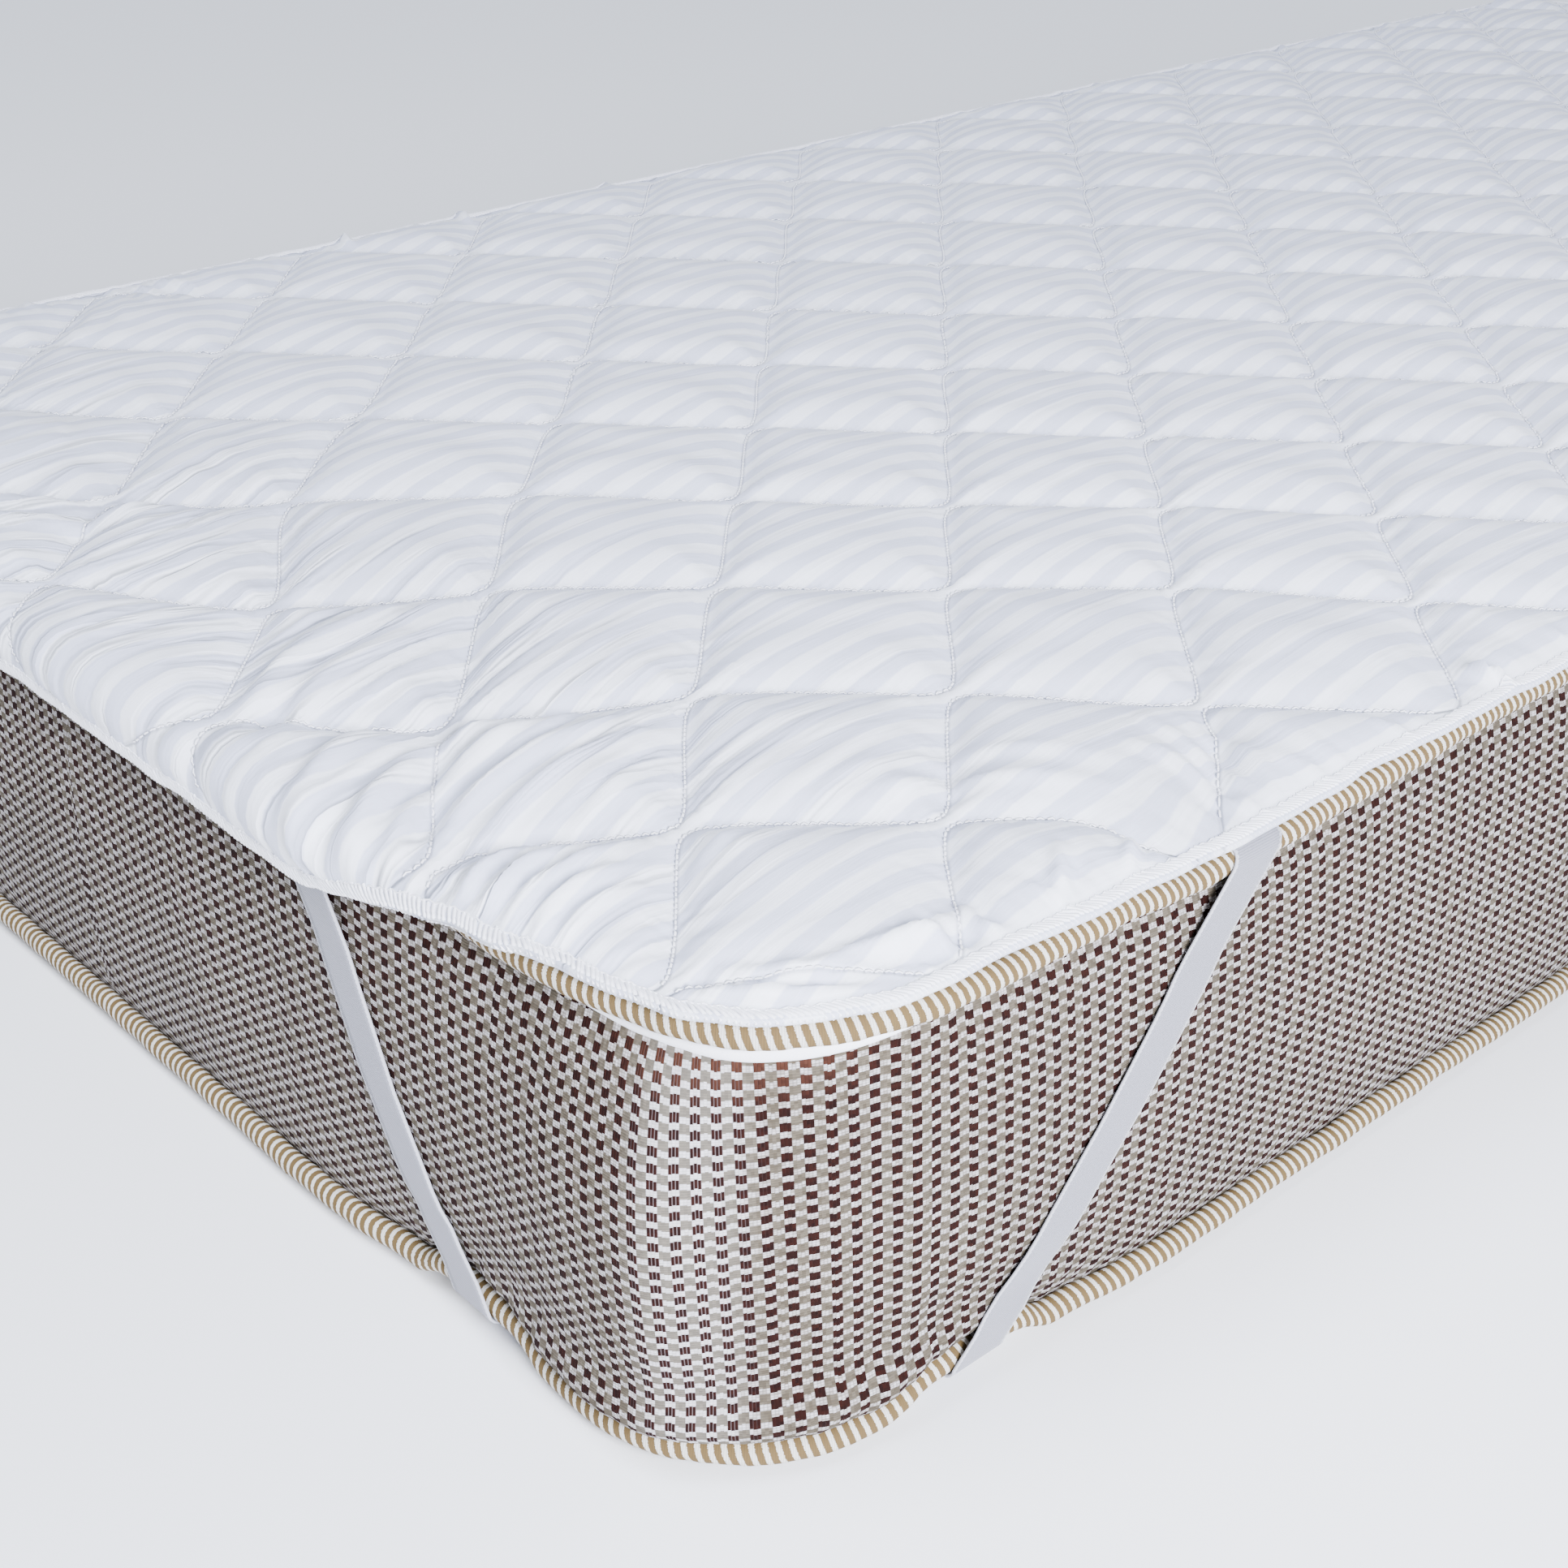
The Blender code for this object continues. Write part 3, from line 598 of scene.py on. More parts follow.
def top_out(s):
    """How far the top edge moves out."""
    return np.interp(s, GIVE_RUN, GIVE_OUT)


def top_up(s):
    """How far the top edge moves up."""
    return np.interp(s, GIVE_RUN, GIVE_UP)


print("the top edge gives up to", round(float(-GIVE_OUT.min()) * 1000, 1), "mm in and",
      round(float(-GIVE_UP.min()) * 1000, 1), "mm down")

# %% [markdown]
# The mattress is one padded body. Its border bulges between the two pipings, is drawn in where
# the straps pull on the bottom edge, and puckers there and along the seams.

# %% Mattress
WALL = np.array([
    # height, distance out, share of the notches that it follows
    (0.0045, -0.0033, 1.00),
    (0.0145, 0.0002, 1.00),
    (0.0200, 0.0024, 0.80),
    (0.0300, 0.0046, 0.48),
    (0.0650, 0.0074, 0.10),
    (0.1050, 0.0085, 0.00),
    (0.1450, 0.0074, 0.00),
    (0.1770, 0.0046, 0.00),
    (0.1870, 0.0022, 0.00),
    (0.1925, 0.0000, 0.00),
    (0.2025, -0.0033, 0.00),
])
SEAM_LOW, SEAM_HIGH = 0.0145, 0.1925
# Heights of the wavers and puckers of the border: its middle, top seam, bottom seam, each notch
WAVER, TOP_PUCKER, LOW_PUCKER, NOTCH_PUCKER = 0.0006, 0.00035, 0.0002, 0.0006
# The foam swells over the bottom seam at the corners
SWELL, SWELL_LEVEL, SWELL_HEIGHT, SWELL_REACH = 0.0085, 0.024, 0.012, 0.105


def wall_surface(run, z, follow_notch=True):
    """Height and distance out of the border at a run and a rest height."""
    s = quarter_of(run)[1]
    out = np.interp(z, WALL[:, 0], WALL[:, 1])
    follow = np.interp(z, WALL[:, 0], WALL[:, 2])
    middle = np.sin(pi * np.clip((z - SEAM_LOW) / (SEAM_HIGH - SEAM_LOW), 0, 1)) ** 0.7
    low = np.exp(-((z - SEAM_LOW) / 0.035) ** 2)
    high = np.exp(-((z - SEAM_HIGH) / 0.022) ** 2)
    out = out + WAVER * middle * ripple(run, 0.09, 0.45, 11)
    out = out + TOP_PUCKER * high * ripple(run + 0.1 * z, 0.011, 0.040, 12)
    near_notch = notch_share(s, 0.070, 4)
    out = out + (LOW_PUCKER + NOTCH_PUCKER * near_notch) * low * ripple(run - 0.35 * z, 0.010, 0.030, 13)
    corner = np.exp(-((s - ARC_START - ARC_LENGTH / 2) / SWELL_REACH) ** 4)
    out = out + SWELL * corner * np.exp(-((z - SWELL_LEVEL) / SWELL_HEIGHT) ** 2)
    body = np.sin(pi * np.clip((z - 0.016) / 0.172, 0, 1)) ** 0.5
    out = out + body * np.interp(s, GIVE_RUN, BODY_OUT)
    top = np.clip((z - 0.115) / 0.070, 0, 1) ** 1.5
    out = out - follow * draw_in(s) + top * top_out(s)
    return z + follow * lift(s) * follow_notch + top * top_up(s), out


def panel_ring(run, margin, z):
    """The flat part of a panel, inside the margin."""
    edge = side_place(run, 0 * run, 0 * run)[:, :2]
    limits = np.array([HALF_LENGTH - margin, HALF_WIDTH - margin])
    inner = np.sign(edge) * np.minimum(np.abs(edge) * limits / np.array([HALF_LENGTH, HALF_WIDTH]), limits)
    return np.column_stack([inner, np.full(len(run), z)])


CHECK_SPREAD = np.array([(0.15, 1.15), (0.22, 1.13), (0.28, 1.04), (0.34, 1.00), (0.42, 1.00), (0.44, 1.06),
                         (0.47, 1.05), (0.50, 1.03), (0.60, 1.08), (0.67, 1.13), (0.75, 1.15)])
# Where the brown yarns open under the top seam: run, reach, lowest height, fade
OPENED_RUN, OPENED_REACH, OPENED_FROM, OPENED_FADE = 0.430, 0.038, 0.168, 0.016
# Where the cloth over the corner's upright edge is pulled tight and painted lighter as a painted highlight:
# run, reach
STRETCH_HIGHLIGHT_RUN, STRETCH_HIGHLIGHT_REACH = 0.415, 0.017
WAIST = 0.10


def make_mattress():
    """Rings from one panel's middle, up the border, to the other panel's middle."""
    runs = side_runs(0.0045, 0.012)
    levels = np.concatenate([np.linspace(WALL[0, 0], SEAM_LOW, 3)[:-1], np.linspace(SEAM_LOW, SEAM_HIGH, 36),
                             np.linspace(SEAM_HIGH, WALL[-1, 0], 3)[1:]])
    rings = [panel_ring(runs, 0.11, 0.0), panel_ring(runs, 0.02, 0.0022)]
    heights = [-0.10, -0.02]
    for level in levels:
        z, out = wall_surface(runs, np.full(len(runs), level))
        rings.append(side_place(runs, out, z))
        heights.append(level)
    rings += [panel_ring(runs, 0.02, 0.2042), panel_ring(runs, 0.11, 0.2050)]
    heights += [0.23, 0.32]
    count = len(runs)
    faces = rows_of_faces(len(rings), count, closed=True)
    # The weave is spaced by the cloth's own length round the middle of the border
    waist = rings[2 + int(np.argmin(np.abs(levels - WAIST)))]
    s = quarter_of(runs)[1]
    steps = np.linalg.norm(np.roll(waist, -1, axis=0) - waist, axis=1)
    along = np.append(0, np.cumsum(steps / np.interp(s, CHECK_SPREAD[:, 0], CHECK_SPREAD[:, 1])))
    face_uv = ring_uvs(along, np.array(heights))
    piece = cloth_piece("mattress_border", np.concatenate(rings), faces, face_uv=face_uv.reshape(-1, 2),
                        material=BORDER_CLOTH)
    piece.data.materials.append(PANEL_CLOTH)
    at_corner = np.exp(-((s - OPENED_RUN) / OPENED_REACH) ** 4)
    opened = np.clip((np.array(heights) - OPENED_FROM) / OPENED_FADE, 0, 1)[:, None] * at_corner
    piece.data.attributes.new("opened", "FLOAT", "POINT").data.foreach_set("value", opened.ravel())
    # Painted highlight, together with the stretch, along the corner's upright edge, at every height
    stretch_highlight = np.tile(np.exp(-((s - STRETCH_HIGHLIGHT_RUN) / STRETCH_HIGHLIGHT_REACH) ** 4), len(heights))
    piece.data.attributes.new("stretch_highlight", "FLOAT", "POINT").data.foreach_set("value", stretch_highlight)
    for polygon in piece.data.polygons:
        ring = polygon.index // count
        if ring < 2 or ring > len(levels):
            polygon.material_index = 1
    only(piece)
    bpy.ops.object.mode_set(mode="EDIT")
    bpy.ops.mesh.select_all(action="DESELECT")
    bpy.ops.mesh.select_mode(type="EDGE")
    bpy.ops.mesh.select_non_manifold()
    bpy.ops.mesh.edge_face_add()
    bpy.ops.object.mode_set(mode="OBJECT")
    for polygon in piece.data.polygons[len(faces):]:
        polygon.material_index = 1
    return piece


mattress = make_mattress()

# %% [markdown]
# Each piping is a round cord that follows the outline. A curve with a round bevel would do, but
# the stripes need to know the run along the cord, so the lines of points along it are placed one
# by one. The radius wavers a little, as a cord sewn into cloth does.

# %% Piping
PIPING_RADIUS = 0.00525
PIPING_OUT = 0.0035
PIPING_LOW, PIPING_HIGH = 0.0095, 0.1975
PIPING_SIDES = 16


def make_piping(name, level, follow, seed):
    """follow is 1 for the bottom cord, which the straps notch, and 0 for the top one."""
    runs = side_runs(0.0035, 0.007)
    s = quarter_of(runs)[1]
    out = PIPING_OUT - follow * draw_in(s) + 0.0003 * ripple(runs, 0.03, 0.12, seed)
    z = level + follow * lift(s) + 0.0003 * ripple(runs, 0.035, 0.15, seed + 1)
    out = out + (1 - follow) * top_out(s)
    z = z + (1 - follow) * top_up(s)
    rings = []
    turns = np.arange(PIPING_SIDES + 1) / PIPING_SIDES
    for turn in turns[:-1]:
        radius = PIPING_RADIUS * (1 + 0.03 * ripple(runs + 0.002 * turn, 0.006, 0.03, seed + 2))
        angle = 2 * pi * turn
        rings.append(side_place(runs, out + radius * np.cos(angle), z + radius * np.sin(angle)))
    count = len(runs)
    rings.append(rings[0])
    faces = rows_of_faces(len(rings), count, closed=True) % (PIPING_SIDES * count)
    # Turned over, so that the faces point outwards
    faces = faces[:, ::-1]
    face_uv = ring_uvs(np.append(runs, 4 * QUARTER_RUN), turns)[:, ::-1]
    return cloth_piece(name, np.concatenate(rings[:-1]), faces, face_uv=face_uv.reshape(-1, 2),
                       material=PIPING_CLOTH)


piping_top = make_piping("piping_cord_top", PIPING_HIGH, 0, 21)
piping_bottom = make_piping("piping_cord_bottom", PIPING_LOW, 1, 31)

# %% [markdown]
# Round each corner the white seam tape under the top piping peeps out, because the seam is pulled
# open by the curve. It is a thin half-round strip that tapers away along the sides.

# %% Seam tape at the corners
TAPE_REACH = 0.072
TAPE_STEPS, TAPE_SIDES = 80, 10
TAPE_LEVEL = 0.1918


def make_tape(number):
    """Points, faces and UVs of the tape at one corner."""
    middle = ARC_START + ARC_LENGTH / 2
    s = np.linspace(middle - TAPE_REACH, middle + TAPE_REACH, TAPE_STEPS)
    runs = np.where(number % 2, (number + 1) * QUARTER_RUN - s[::-1], number * QUARTER_RUN + s)
    share = np.cos(pi / 2 * np.linspace(-1, 1, TAPE_STEPS)) ** 0.7
    s_here = quarter_of(runs)[1]
    rings = []
    half_high = 0.0005 + 0.0036 * share
    for turn in np.linspace(0, 1, TAPE_SIDES + 1)[:-1]:
        angle = 2 * pi * turn
        out = 0.0010 + (0.0004 + 0.0026 * share) * np.cos(angle) + top_out(s_here)
        z = TAPE_LEVEL - half_high * 0.75 + half_high * np.sin(angle) + top_up(s_here)
        rings.append(side_place(runs, out, z))
    points = np.stack(rings, 1)
    faces = rows_of_faces(TAPE_STEPS, TAPE_SIDES, closed=True)
    around = np.tile(np.arange(TAPE_SIDES) / TAPE_SIDES, TAPE_STEPS)
    uv = np.column_stack([np.repeat(runs, TAPE_SIDES), around])
    return points.reshape(-1, 3), faces, uv


def joined(parts):
    """Points, faces and UVs of several parts as one."""
    offset, points, faces, uvs = 0, [], [], []
    for part_points, part_faces, part_uv in parts:
        points.append(part_points)
        faces.append(part_faces + offset)
        uvs.append(part_uv)
        offset += len(part_points)
    return np.concatenate(points), np.concatenate(faces), np.concatenate(uvs)


def close_ends(piece):
    """Fill open ends, and turn all faces outwards."""
    only(piece)
    bpy.ops.object.mode_set(mode="EDIT")
    bpy.ops.mesh.select_mode(type="EDGE")
    bpy.ops.mesh.select_all(action="DESELECT")
    bpy.ops.mesh.select_non_manifold()
    bpy.ops.mesh.fill_holes(sides=0)
    bpy.ops.mesh.select_all(action="SELECT")
    bpy.ops.mesh.normals_make_consistent(inside=False)
    bpy.ops.object.mode_set(mode="OBJECT")


points, faces, uv = joined([make_tape(number) for number in range(4)])
seam_tape = cloth_piece("seam_tape", points, faces, uv=uv, material=THREAD)
close_ends(seam_tape)

# %% [markdown]
# The pad is worked out flat, as it was cut and quilted, and then laid on the mattress and over
# the short edges. Straps drag the cloth towards the shown corner. The table below says how far: it
# is read off the places where two rows of stitches meet. So each point of the laid pad has a flat
# place, and the quilting and the stripes follow that. The other corners are not dragged.

# %% How the cloth is dragged
FABRIC_DRAG = np.array([
    # flat x, flat y, moved x, moved y
    (-0.8505, -0.3065, -0.0095, -0.0130),
    (-0.6995, -0.3065, -0.0005, 0.0010),
    (-0.5485, -0.3065, 0.0060, 0.0110),
    (-0.7750, -0.2310, -0.0100, -0.0050),
    (-0.7750, -0.3820, -0.0050, 0.0010),
    (-0.6240, -0.3820, -0.0060, 0.0000),
    (-0.8505, -0.1555, -0.0275, -0.0370),
    (-0.9260, -0.2310, -0.0220, -0.0500),
    (-0.9260, -0.3820, -0.0090, -0.0180),
    (-0.7750, 0.0710, -0.0200, -0.0060),
    (-0.7750, -0.0800, -0.0100, -0.0100),
    (-0.8505, -0.0045, -0.0200, -0.0380),
    (-0.8505, 0.1465, -0.0150, -0.0250),
    (-0.6240, -0.1555, -0.0020, 0.0000),
    (-0.8505, -0.4575, 0.0000, 0.0000),
    (-0.9850, -0.0800, -0.0200, -0.0400),
    (-0.9850, -0.1555, -0.0260, -0.0560),
    (-0.9850, -0.2310, -0.0220, -0.0660),
    (-0.9850, -0.3000, -0.0130, -0.0450),
    (-0.9850, -0.3820, -0.0060, -0.0160),
])
DRAG_REACH = 0.095
DRAG_SLACK = 0.02
# Beside the long-side strap the row of stitches turns down to the hem early
STRAP_DRAG = np.array([
    (-0.7420, -0.4170, 0.0000, 0.0000),
    (-0.7200, -0.4390, -0.0145, -0.0150),
    (-0.7060, -0.4530, -0.0180, -0.0150),
    (-0.6920, -0.4509, -0.0200, -0.0100),
    (-0.6840, -0.4438, -0.0115, -0.0020),
    (-0.6680, -0.4269, -0.0018, 0.0028),
    (-0.6480, -0.4050, 0.0000, 0.0000),
])
STRAP_DRAG_REACH = 0.024
FLAT_TRIES = 24


def spread(flat, places, weights, reach):
    """Moves of a few places, spread over the cloth round each."""
    moved = np.zeros_like(flat)
    for (x, y), weight in zip(places, weights):
        share = np.exp(-((flat[:, 0] - x) ** 2 + (flat[:, 1] - y) ** 2) / reach ** 2)
        moved += share[:, None] * weight
    return moved


def spread_weights(places, moves, reach):
    """Weights that make the spread moves come out as the table says, less a little slack."""
    apart = np.linalg.norm(places[:, None] - places[None], axis=-1)
    return np.linalg.solve(np.exp(-(apart / reach) ** 2) + DRAG_SLACK * np.eye(len(places)), moves)


WIDE_WEIGHTS = spread_weights(FABRIC_DRAG[:, :2], FABRIC_DRAG[:, 2:], DRAG_REACH)
LEFT_OVER = STRAP_DRAG[:, 2:] - spread(STRAP_DRAG[:, :2], FABRIC_DRAG[:, :2], WIDE_WEIGHTS, DRAG_REACH)
STRAP_WEIGHTS = spread_weights(STRAP_DRAG[:, :2], LEFT_OVER, STRAP_DRAG_REACH)


def dragged(flat):
    """How far the cloth at each flat place is moved."""
    return (spread(flat, FABRIC_DRAG[:, :2], WIDE_WEIGHTS, DRAG_REACH)
            + spread(flat, STRAP_DRAG[:, :2], STRAP_WEIGHTS, STRAP_DRAG_REACH))


def flat_place(laid):
    """The flat place of each point of the laid pad, found by trying again and again."""
    flat = laid.copy()
    for _ in range(FLAT_TRIES):
        flat = 0.4 * flat + 0.6 * (laid - dragged(flat))
    return flat


print("largest drag", round(float(np.abs(FABRIC_DRAG[:, 2:]).max()) * 1000), "mm")

# %% [markdown]
# The quilting is one wavy row of stitches after another, each the mirror of the next, so that
# their rounded tops nearly touch. Between them the filling puffs up. The folds are listed one by
# one: each is a line of points with a height and a width, a ridge beside a softer trough.

# %% Quilting and folds
PAD_UNDERSIDE = 0.2053
HEM_THICKNESS = 0.0030
HEM_WIDTH = 0.0052
CROWN = 0.0104
PUFF_REACH = 0.0130
# Heights of the uneven filling, the gathers beside the stitches, the hem's ripple and tucks, and
# the waves that the straps pull
FILL_WAVER, GATHERS, HEM_RIPPLE, TUCKS, DRAG_WAVES = 0.0006, 0.00085, 0.00080, 0.0011, 0.00090
THINNEST = 0.0016
PAD_HALF_WIDTH = 0.461
PAD_HALF_LENGTH = 0.9525
PAD_CORNER_RADIUS = 0.100
BEND_START = 0.9530
BEND_RADIUS = 0.0105
OVERHANG = np.array([(0.089, 0.000), (0.115, 0.008), (0.160, 0.013), (0.205, 0.023), (0.230, 0.030),
                     (0.450, 0.030)])
QUILT_ROWS = range(-1, 13)

# Name: height, half width, then the line on the laid pad. Every corner gets them, mirrored.
FOLDS = {
    "long drag 1": (0.0014, 0.0048, [(-0.890, -0.172), (-0.925, -0.187), (-0.955, -0.210), (-0.978, -0.246)]),
    "long drag 2": (0.0020, 0.0055, [(-0.850, -0.205), (-0.895, -0.210), (-0.940, -0.233), (-0.975, -0.270)]),
    "long drag 3": (0.0018, 0.0050, [(-0.840, -0.222), (-0.890, -0.228), (-0.935, -0.250), (-0.972, -0.288)]),
    "long drag 4": (0.0016, 0.0045, [(-0.835, -0.240), (-0.880, -0.247), (-0.925, -0.262), (-0.965, -0.292)]),
    "long drag 5": (0.0014, 0.0045, [(-0.830, -0.257), (-0.870, -0.263), (-0.910, -0.276), (-0.945, -0.294)]),
    "far drag 1": (0.0016, 0.0060, [(-0.850, -0.120), (-0.900, -0.135), (-0.945, -0.165)]),
    "far drag 2": (0.0015, 0.0055, [(-0.840, -0.090), (-0.890, -0.100), (-0.940, -0.135)]),
    "comb 1": (0.0018, 0.0035, [(-0.905, -0.298), (-0.935, -0.300), (-0.962, -0.312)]),
    "comb 2": (0.0018, 0.0035, [(-0.900, -0.309), (-0.932, -0.313), (-0.960, -0.324)]),
    "comb 3": (0.0016, 0.0035, [(-0.890, -0.321), (-0.930, -0.326), (-0.958, -0.335)]),
    "comb 4": (0.0016, 0.0035, [(-0.905, -0.335), (-0.930, -0.338), (-0.955, -0.347)]),
    "comb 5": (0.0014, 0.0035, [(-0.905, -0.348), (-0.930, -0.351), (-0.952, -0.358)]),
    "corner 1": (0.0032, 0.0045, [(-0.930, -0.408), (-0.912, -0.425), (-0.893, -0.440), (-0.866, -0.455)]),
    "corner 2": (0.0026, 0.0040, [(-0.915, -0.408), (-0.897, -0.424), (-0.880, -0.437), (-0.858, -0.450)]),
    "corner 3": (0.0022, 0.0045, [(-0.898, -0.419), (-0.876, -0.431), (-0.845, -0.437), (-0.825, -0.432)]),
    "side 1": (0.0016, 0.0035, [(-0.838, -0.457), (-0.842, -0.444), (-0.850, -0.436)]),
    "side 2": (0.0018, 0.0035, [(-0.796, -0.456), (-0.787, -0.446), (-0.771, -0.431)]),
    "side 3": (0.0018, 0.0030, [(-0.761, -0.457), (-0.752, -0.449), (-0.741, -0.439)]),
    "side 4": (0.0014, 0.0030, [(-0.822, -0.456), (-0.825, -0.442), (-0.822, -0.430)]),
    "strap 1": (0.0012, 0.0040, [(-0.690, -0.395), (-0.684, -0.415), (-0.686, -0.435), (-0.694, -0.453)]),
    "strap 2": (0.0012, 0.0035, [(-0.668, -0.385), (-0.668, -0.410), (-0.674, -0.435), (-0.684, -0.454)]),
    "strap 3": (0.0010, 0.0035, [(-0.650, -0.390), (-0.652, -0.415), (-0.660, -0.438), (-0.671, -0.455)]),
    "arch 1": (0.0007, 0.0045, [(-0.800, -0.352), (-0.768, -0.362), (-0.738, -0.385), (-0.720, -0.412)]),
    "arch 2": (0.0006, 0.0040, [(-0.788, -0.338), (-0.752, -0.348), (-0.722, -0.372), (-0.706, -0.402)]),
}
FOLD_STRENGTH = 2.2


def quilt_row(row, x):
    """Y of one row of stitches on the flat pad, and its slope."""
    phase = 2 * pi * (x - QUILT_X) / QUILT_PITCH
    scale = (-1 if row % 2 else 1) * QUILT_WAVE / np.arcsin(QUILT_ROUNDING)
    inner = QUILT_ROUNDING * np.cos(phase)
    slope = -scale * QUILT_ROUNDING * np.sin(phase) / np.sqrt(1 - inner ** 2) * 2 * pi / QUILT_PITCH
    return QUILT_Y + row * QUILT_PITCH / 2 + scale * np.arcsin(inner), slope


def overhang(away):
    """How far the pad hangs past the short edge, by the distance from the long side."""
    return np.interp(away, OVERHANG[:, 0], OVERHANG[:, 1])


def hem_distance(laid):
    """Distance in from the pad's edge."""
    x = np.abs(laid[:, 0]) - overhang(HALF_WIDTH - np.abs(laid[:, 1])) * (np.abs(laid[:, 0]) > 0.8)
    qx = x - (PAD_HALF_LENGTH - PAD_CORNER_RADIUS)
    qy = np.abs(laid[:, 1]) - (PAD_HALF_WIDTH - PAD_CORNER_RADIUS)
    outside = np.hypot(np.maximum(qx, 0), np.maximum(qy, 0))
    return PAD_CORNER_RADIUS - outside - np.minimum(np.maximum(qx, qy), 0)


def smooth_line(points, count=24):
    """A smooth curve through a few points."""
    points = np.array(points, float)
    padded = np.vstack([2 * points[0] - points[1], points, 2 * points[-1] - points[-2]])
    at = np.linspace(0, len(points) - 1 - 1e-6, count)
    i = at.astype(int)
    t = (at - i)[:, None]
    p0, p1, p2, p3 = padded[i], padded[i + 1], padded[i + 2], padded[i + 3]
    return 0.5 * (2 * p1 + (p2 - p0) * t + (2 * p0 - 5 * p1 + 4 * p2 - p3) * t ** 2
                  + (3 * p1 - p0 - 3 * p2 + p3) * t ** 3)


def fold_heights(laid):
    """Height of the folds laid by hand, at points of the laid pad."""
    here = -np.abs(laid)
    total = np.zeros(len(laid))
    for height, width, points in FOLDS.values():
        line = smooth_line(points)
        low, high = line.min(0) - 5 * width, line.max(0) + 5 * width
        near = np.flatnonzero(((here > low) & (here < high)).all(1))
        if not len(near):
            continue
        p = here[near]
        best = np.full(len(near), 9.0)
        side = np.zeros(len(near))
        along = np.zeros(len(near))
        for i in range(len(line) - 1):
            step = line[i + 1] - line[i]
            share = np.clip(((p - line[i]) @ step) / (step @ step), 0, 1)
            gap = p - line[i] - share[:, None] * step
            far = np.hypot(gap[:, 0], gap[:, 1])
            closer = far < best
            best = np.where(closer, far, best)
            cross = step[0] * gap[:, 1] - step[1] * gap[:, 0]
            side = np.where(closer, np.sign(cross), side)
            along = np.where(closer, (i + share) / (len(line) - 1), along)
        taper = np.sin(pi * np.clip(0.08 + 0.84 * along, 0, 1)) ** 0.8
        signed = best * side
        ridge = np.exp(-(best / width) ** 2) - 0.55 * np.exp(-((signed + 1.9 * width) / width) ** 2)
        total[near] += FOLD_STRENGTH * height * taper * ridge
    return total


def pulled_share(laid):
    """How much the straps crease the cloth here, 0 to 1."""
    ax, ay = np.abs(laid[:, 0]), np.abs(laid[:, 1])
    return np.clip((ax - 0.74) / 0.10, 0, 1) * np.clip((0.40 - ay) / 0.09, 0, 1)


def pad_heights(laid, flat, edge):
    """Height of the pad's face above its underside; edge is the distance in from the hem."""
    stitch = np.full(len(flat), QUILT_PITCH)
    gathers = np.zeros(len(flat))
    for row in QUILT_ROWS:
        y, slope = quilt_row(row, flat[:, 0])
        away = np.abs(flat[:, 1] - y) / np.hypot(1, slope)
        pull = np.exp(-away / 0.011) * away / (away + 0.002)
        tangent = (flat[:, 0] + slope * flat[:, 1]) / np.hypot(1, slope)
        gathers += pull * ripple(tangent + 0.013 * row, 0.007, 0.022, 40 + row)
        stitch = np.minimum(stitch, away)
    soft = np.sqrt(stitch ** 2 + 0.0022 ** 2) - 0.0022
    puff = 1 - np.exp(-soft / PUFF_REACH)
    inside = 1 - np.exp(-np.maximum(0, edge - HEM_WIDTH) / 0.016)
    along_hem = np.where(np.abs(laid[:, 0]) > 0.86, laid[:, 1] * 1.07, laid[:, 0])
    hem_pull = np.exp(-np.maximum(0, edge - HEM_WIDTH) / 0.020) * np.clip((edge - 0.004) / 0.006, 0, 1)
    hem_ripple = ripple(along_hem + 0.15 * edge, 0.008, 0.026, 71)
    height = HEM_THICKNESS + CROWN * puff * inside
    height += inside * puff * FILL_WAVER * ripple(flat[:, 0] + 0.8 * flat[:, 1], 0.05, 0.16, 81)
    height += GATHERS * gathers * inside
    height += HEM_RIPPLE * hem_pull * hem_ripple
    tucks = np.maximum(0, ripple(along_hem + 0.3 * edge, 0.014, 0.045, 74)) ** 3
    height += TUCKS * tucks * np.exp(-((edge - 0.013) / 0.010) ** 2) * (np.abs(laid[:, 0]) < 0.87)
    drag_wave = ripple(flat[:, 1] - 0.12 * flat[:, 0], 0.0085, 0.019, 73)
    height += DRAG_WAVES * pulled_share(laid) * inside * puff * drag_wave
    height += fold_heights(laid) * np.clip((edge - 0.004) / 0.010, 0, 1)
    return np.maximum(height, THINNEST)


def lay(laid, height):
    """Lay points of the flat pad on the mattress, over the short edges where they reach them."""
    side = np.sign(laid[:, 0])
    run = np.abs(laid[:, 0]) - BEND_START
    angle = np.clip(run / BEND_RADIUS, 0, pi / 2)
    hang = np.maximum(0, run - BEND_RADIUS * pi / 2)
    radius = BEND_RADIUS + height
    x = np.where(run <= 0, laid[:, 0], side * (BEND_START + radius * np.sin(angle)))
    z = np.where(run <= 0, PAD_UNDERSIDE + height,
                 PAD_UNDERSIDE - BEND_RADIUS + radius * np.cos(angle) - hang)
    return np.column_stack([x, laid[:, 1], z])


print(len(FOLDS), "folds laid by hand")

# %% [markdown]
# The face is a grid of 2.5 mm near the shown corner, growing to 8 mm far from it. Where the pad's
# corners are round, the square corner of the grid is pressed into a quarter disc, so that its
# rows run along the hem. The underside is the same grid for the part that can be seen from
# below, closed by one flat face where it lies on the mattress.

# %% Pad
FINE, MIDDLING, COARSE = 0.0025, 0.0038, 0.0080
UNDER_ROWS = 16
# The overhang starts here, and the hem wavers by this much
OVERHANG_FROM = 0.86
HEM_WAVER, HEM_WAVER_REACH = 0.0007, 0.020
# The overlock covers the cloth this far in, where the cloth gets painted shade, over a short fade;
# the rim stands out this much
HEM_COVER, HEM_FADE, RIM_OUT = 0.0062, 0.0012, 0.0005


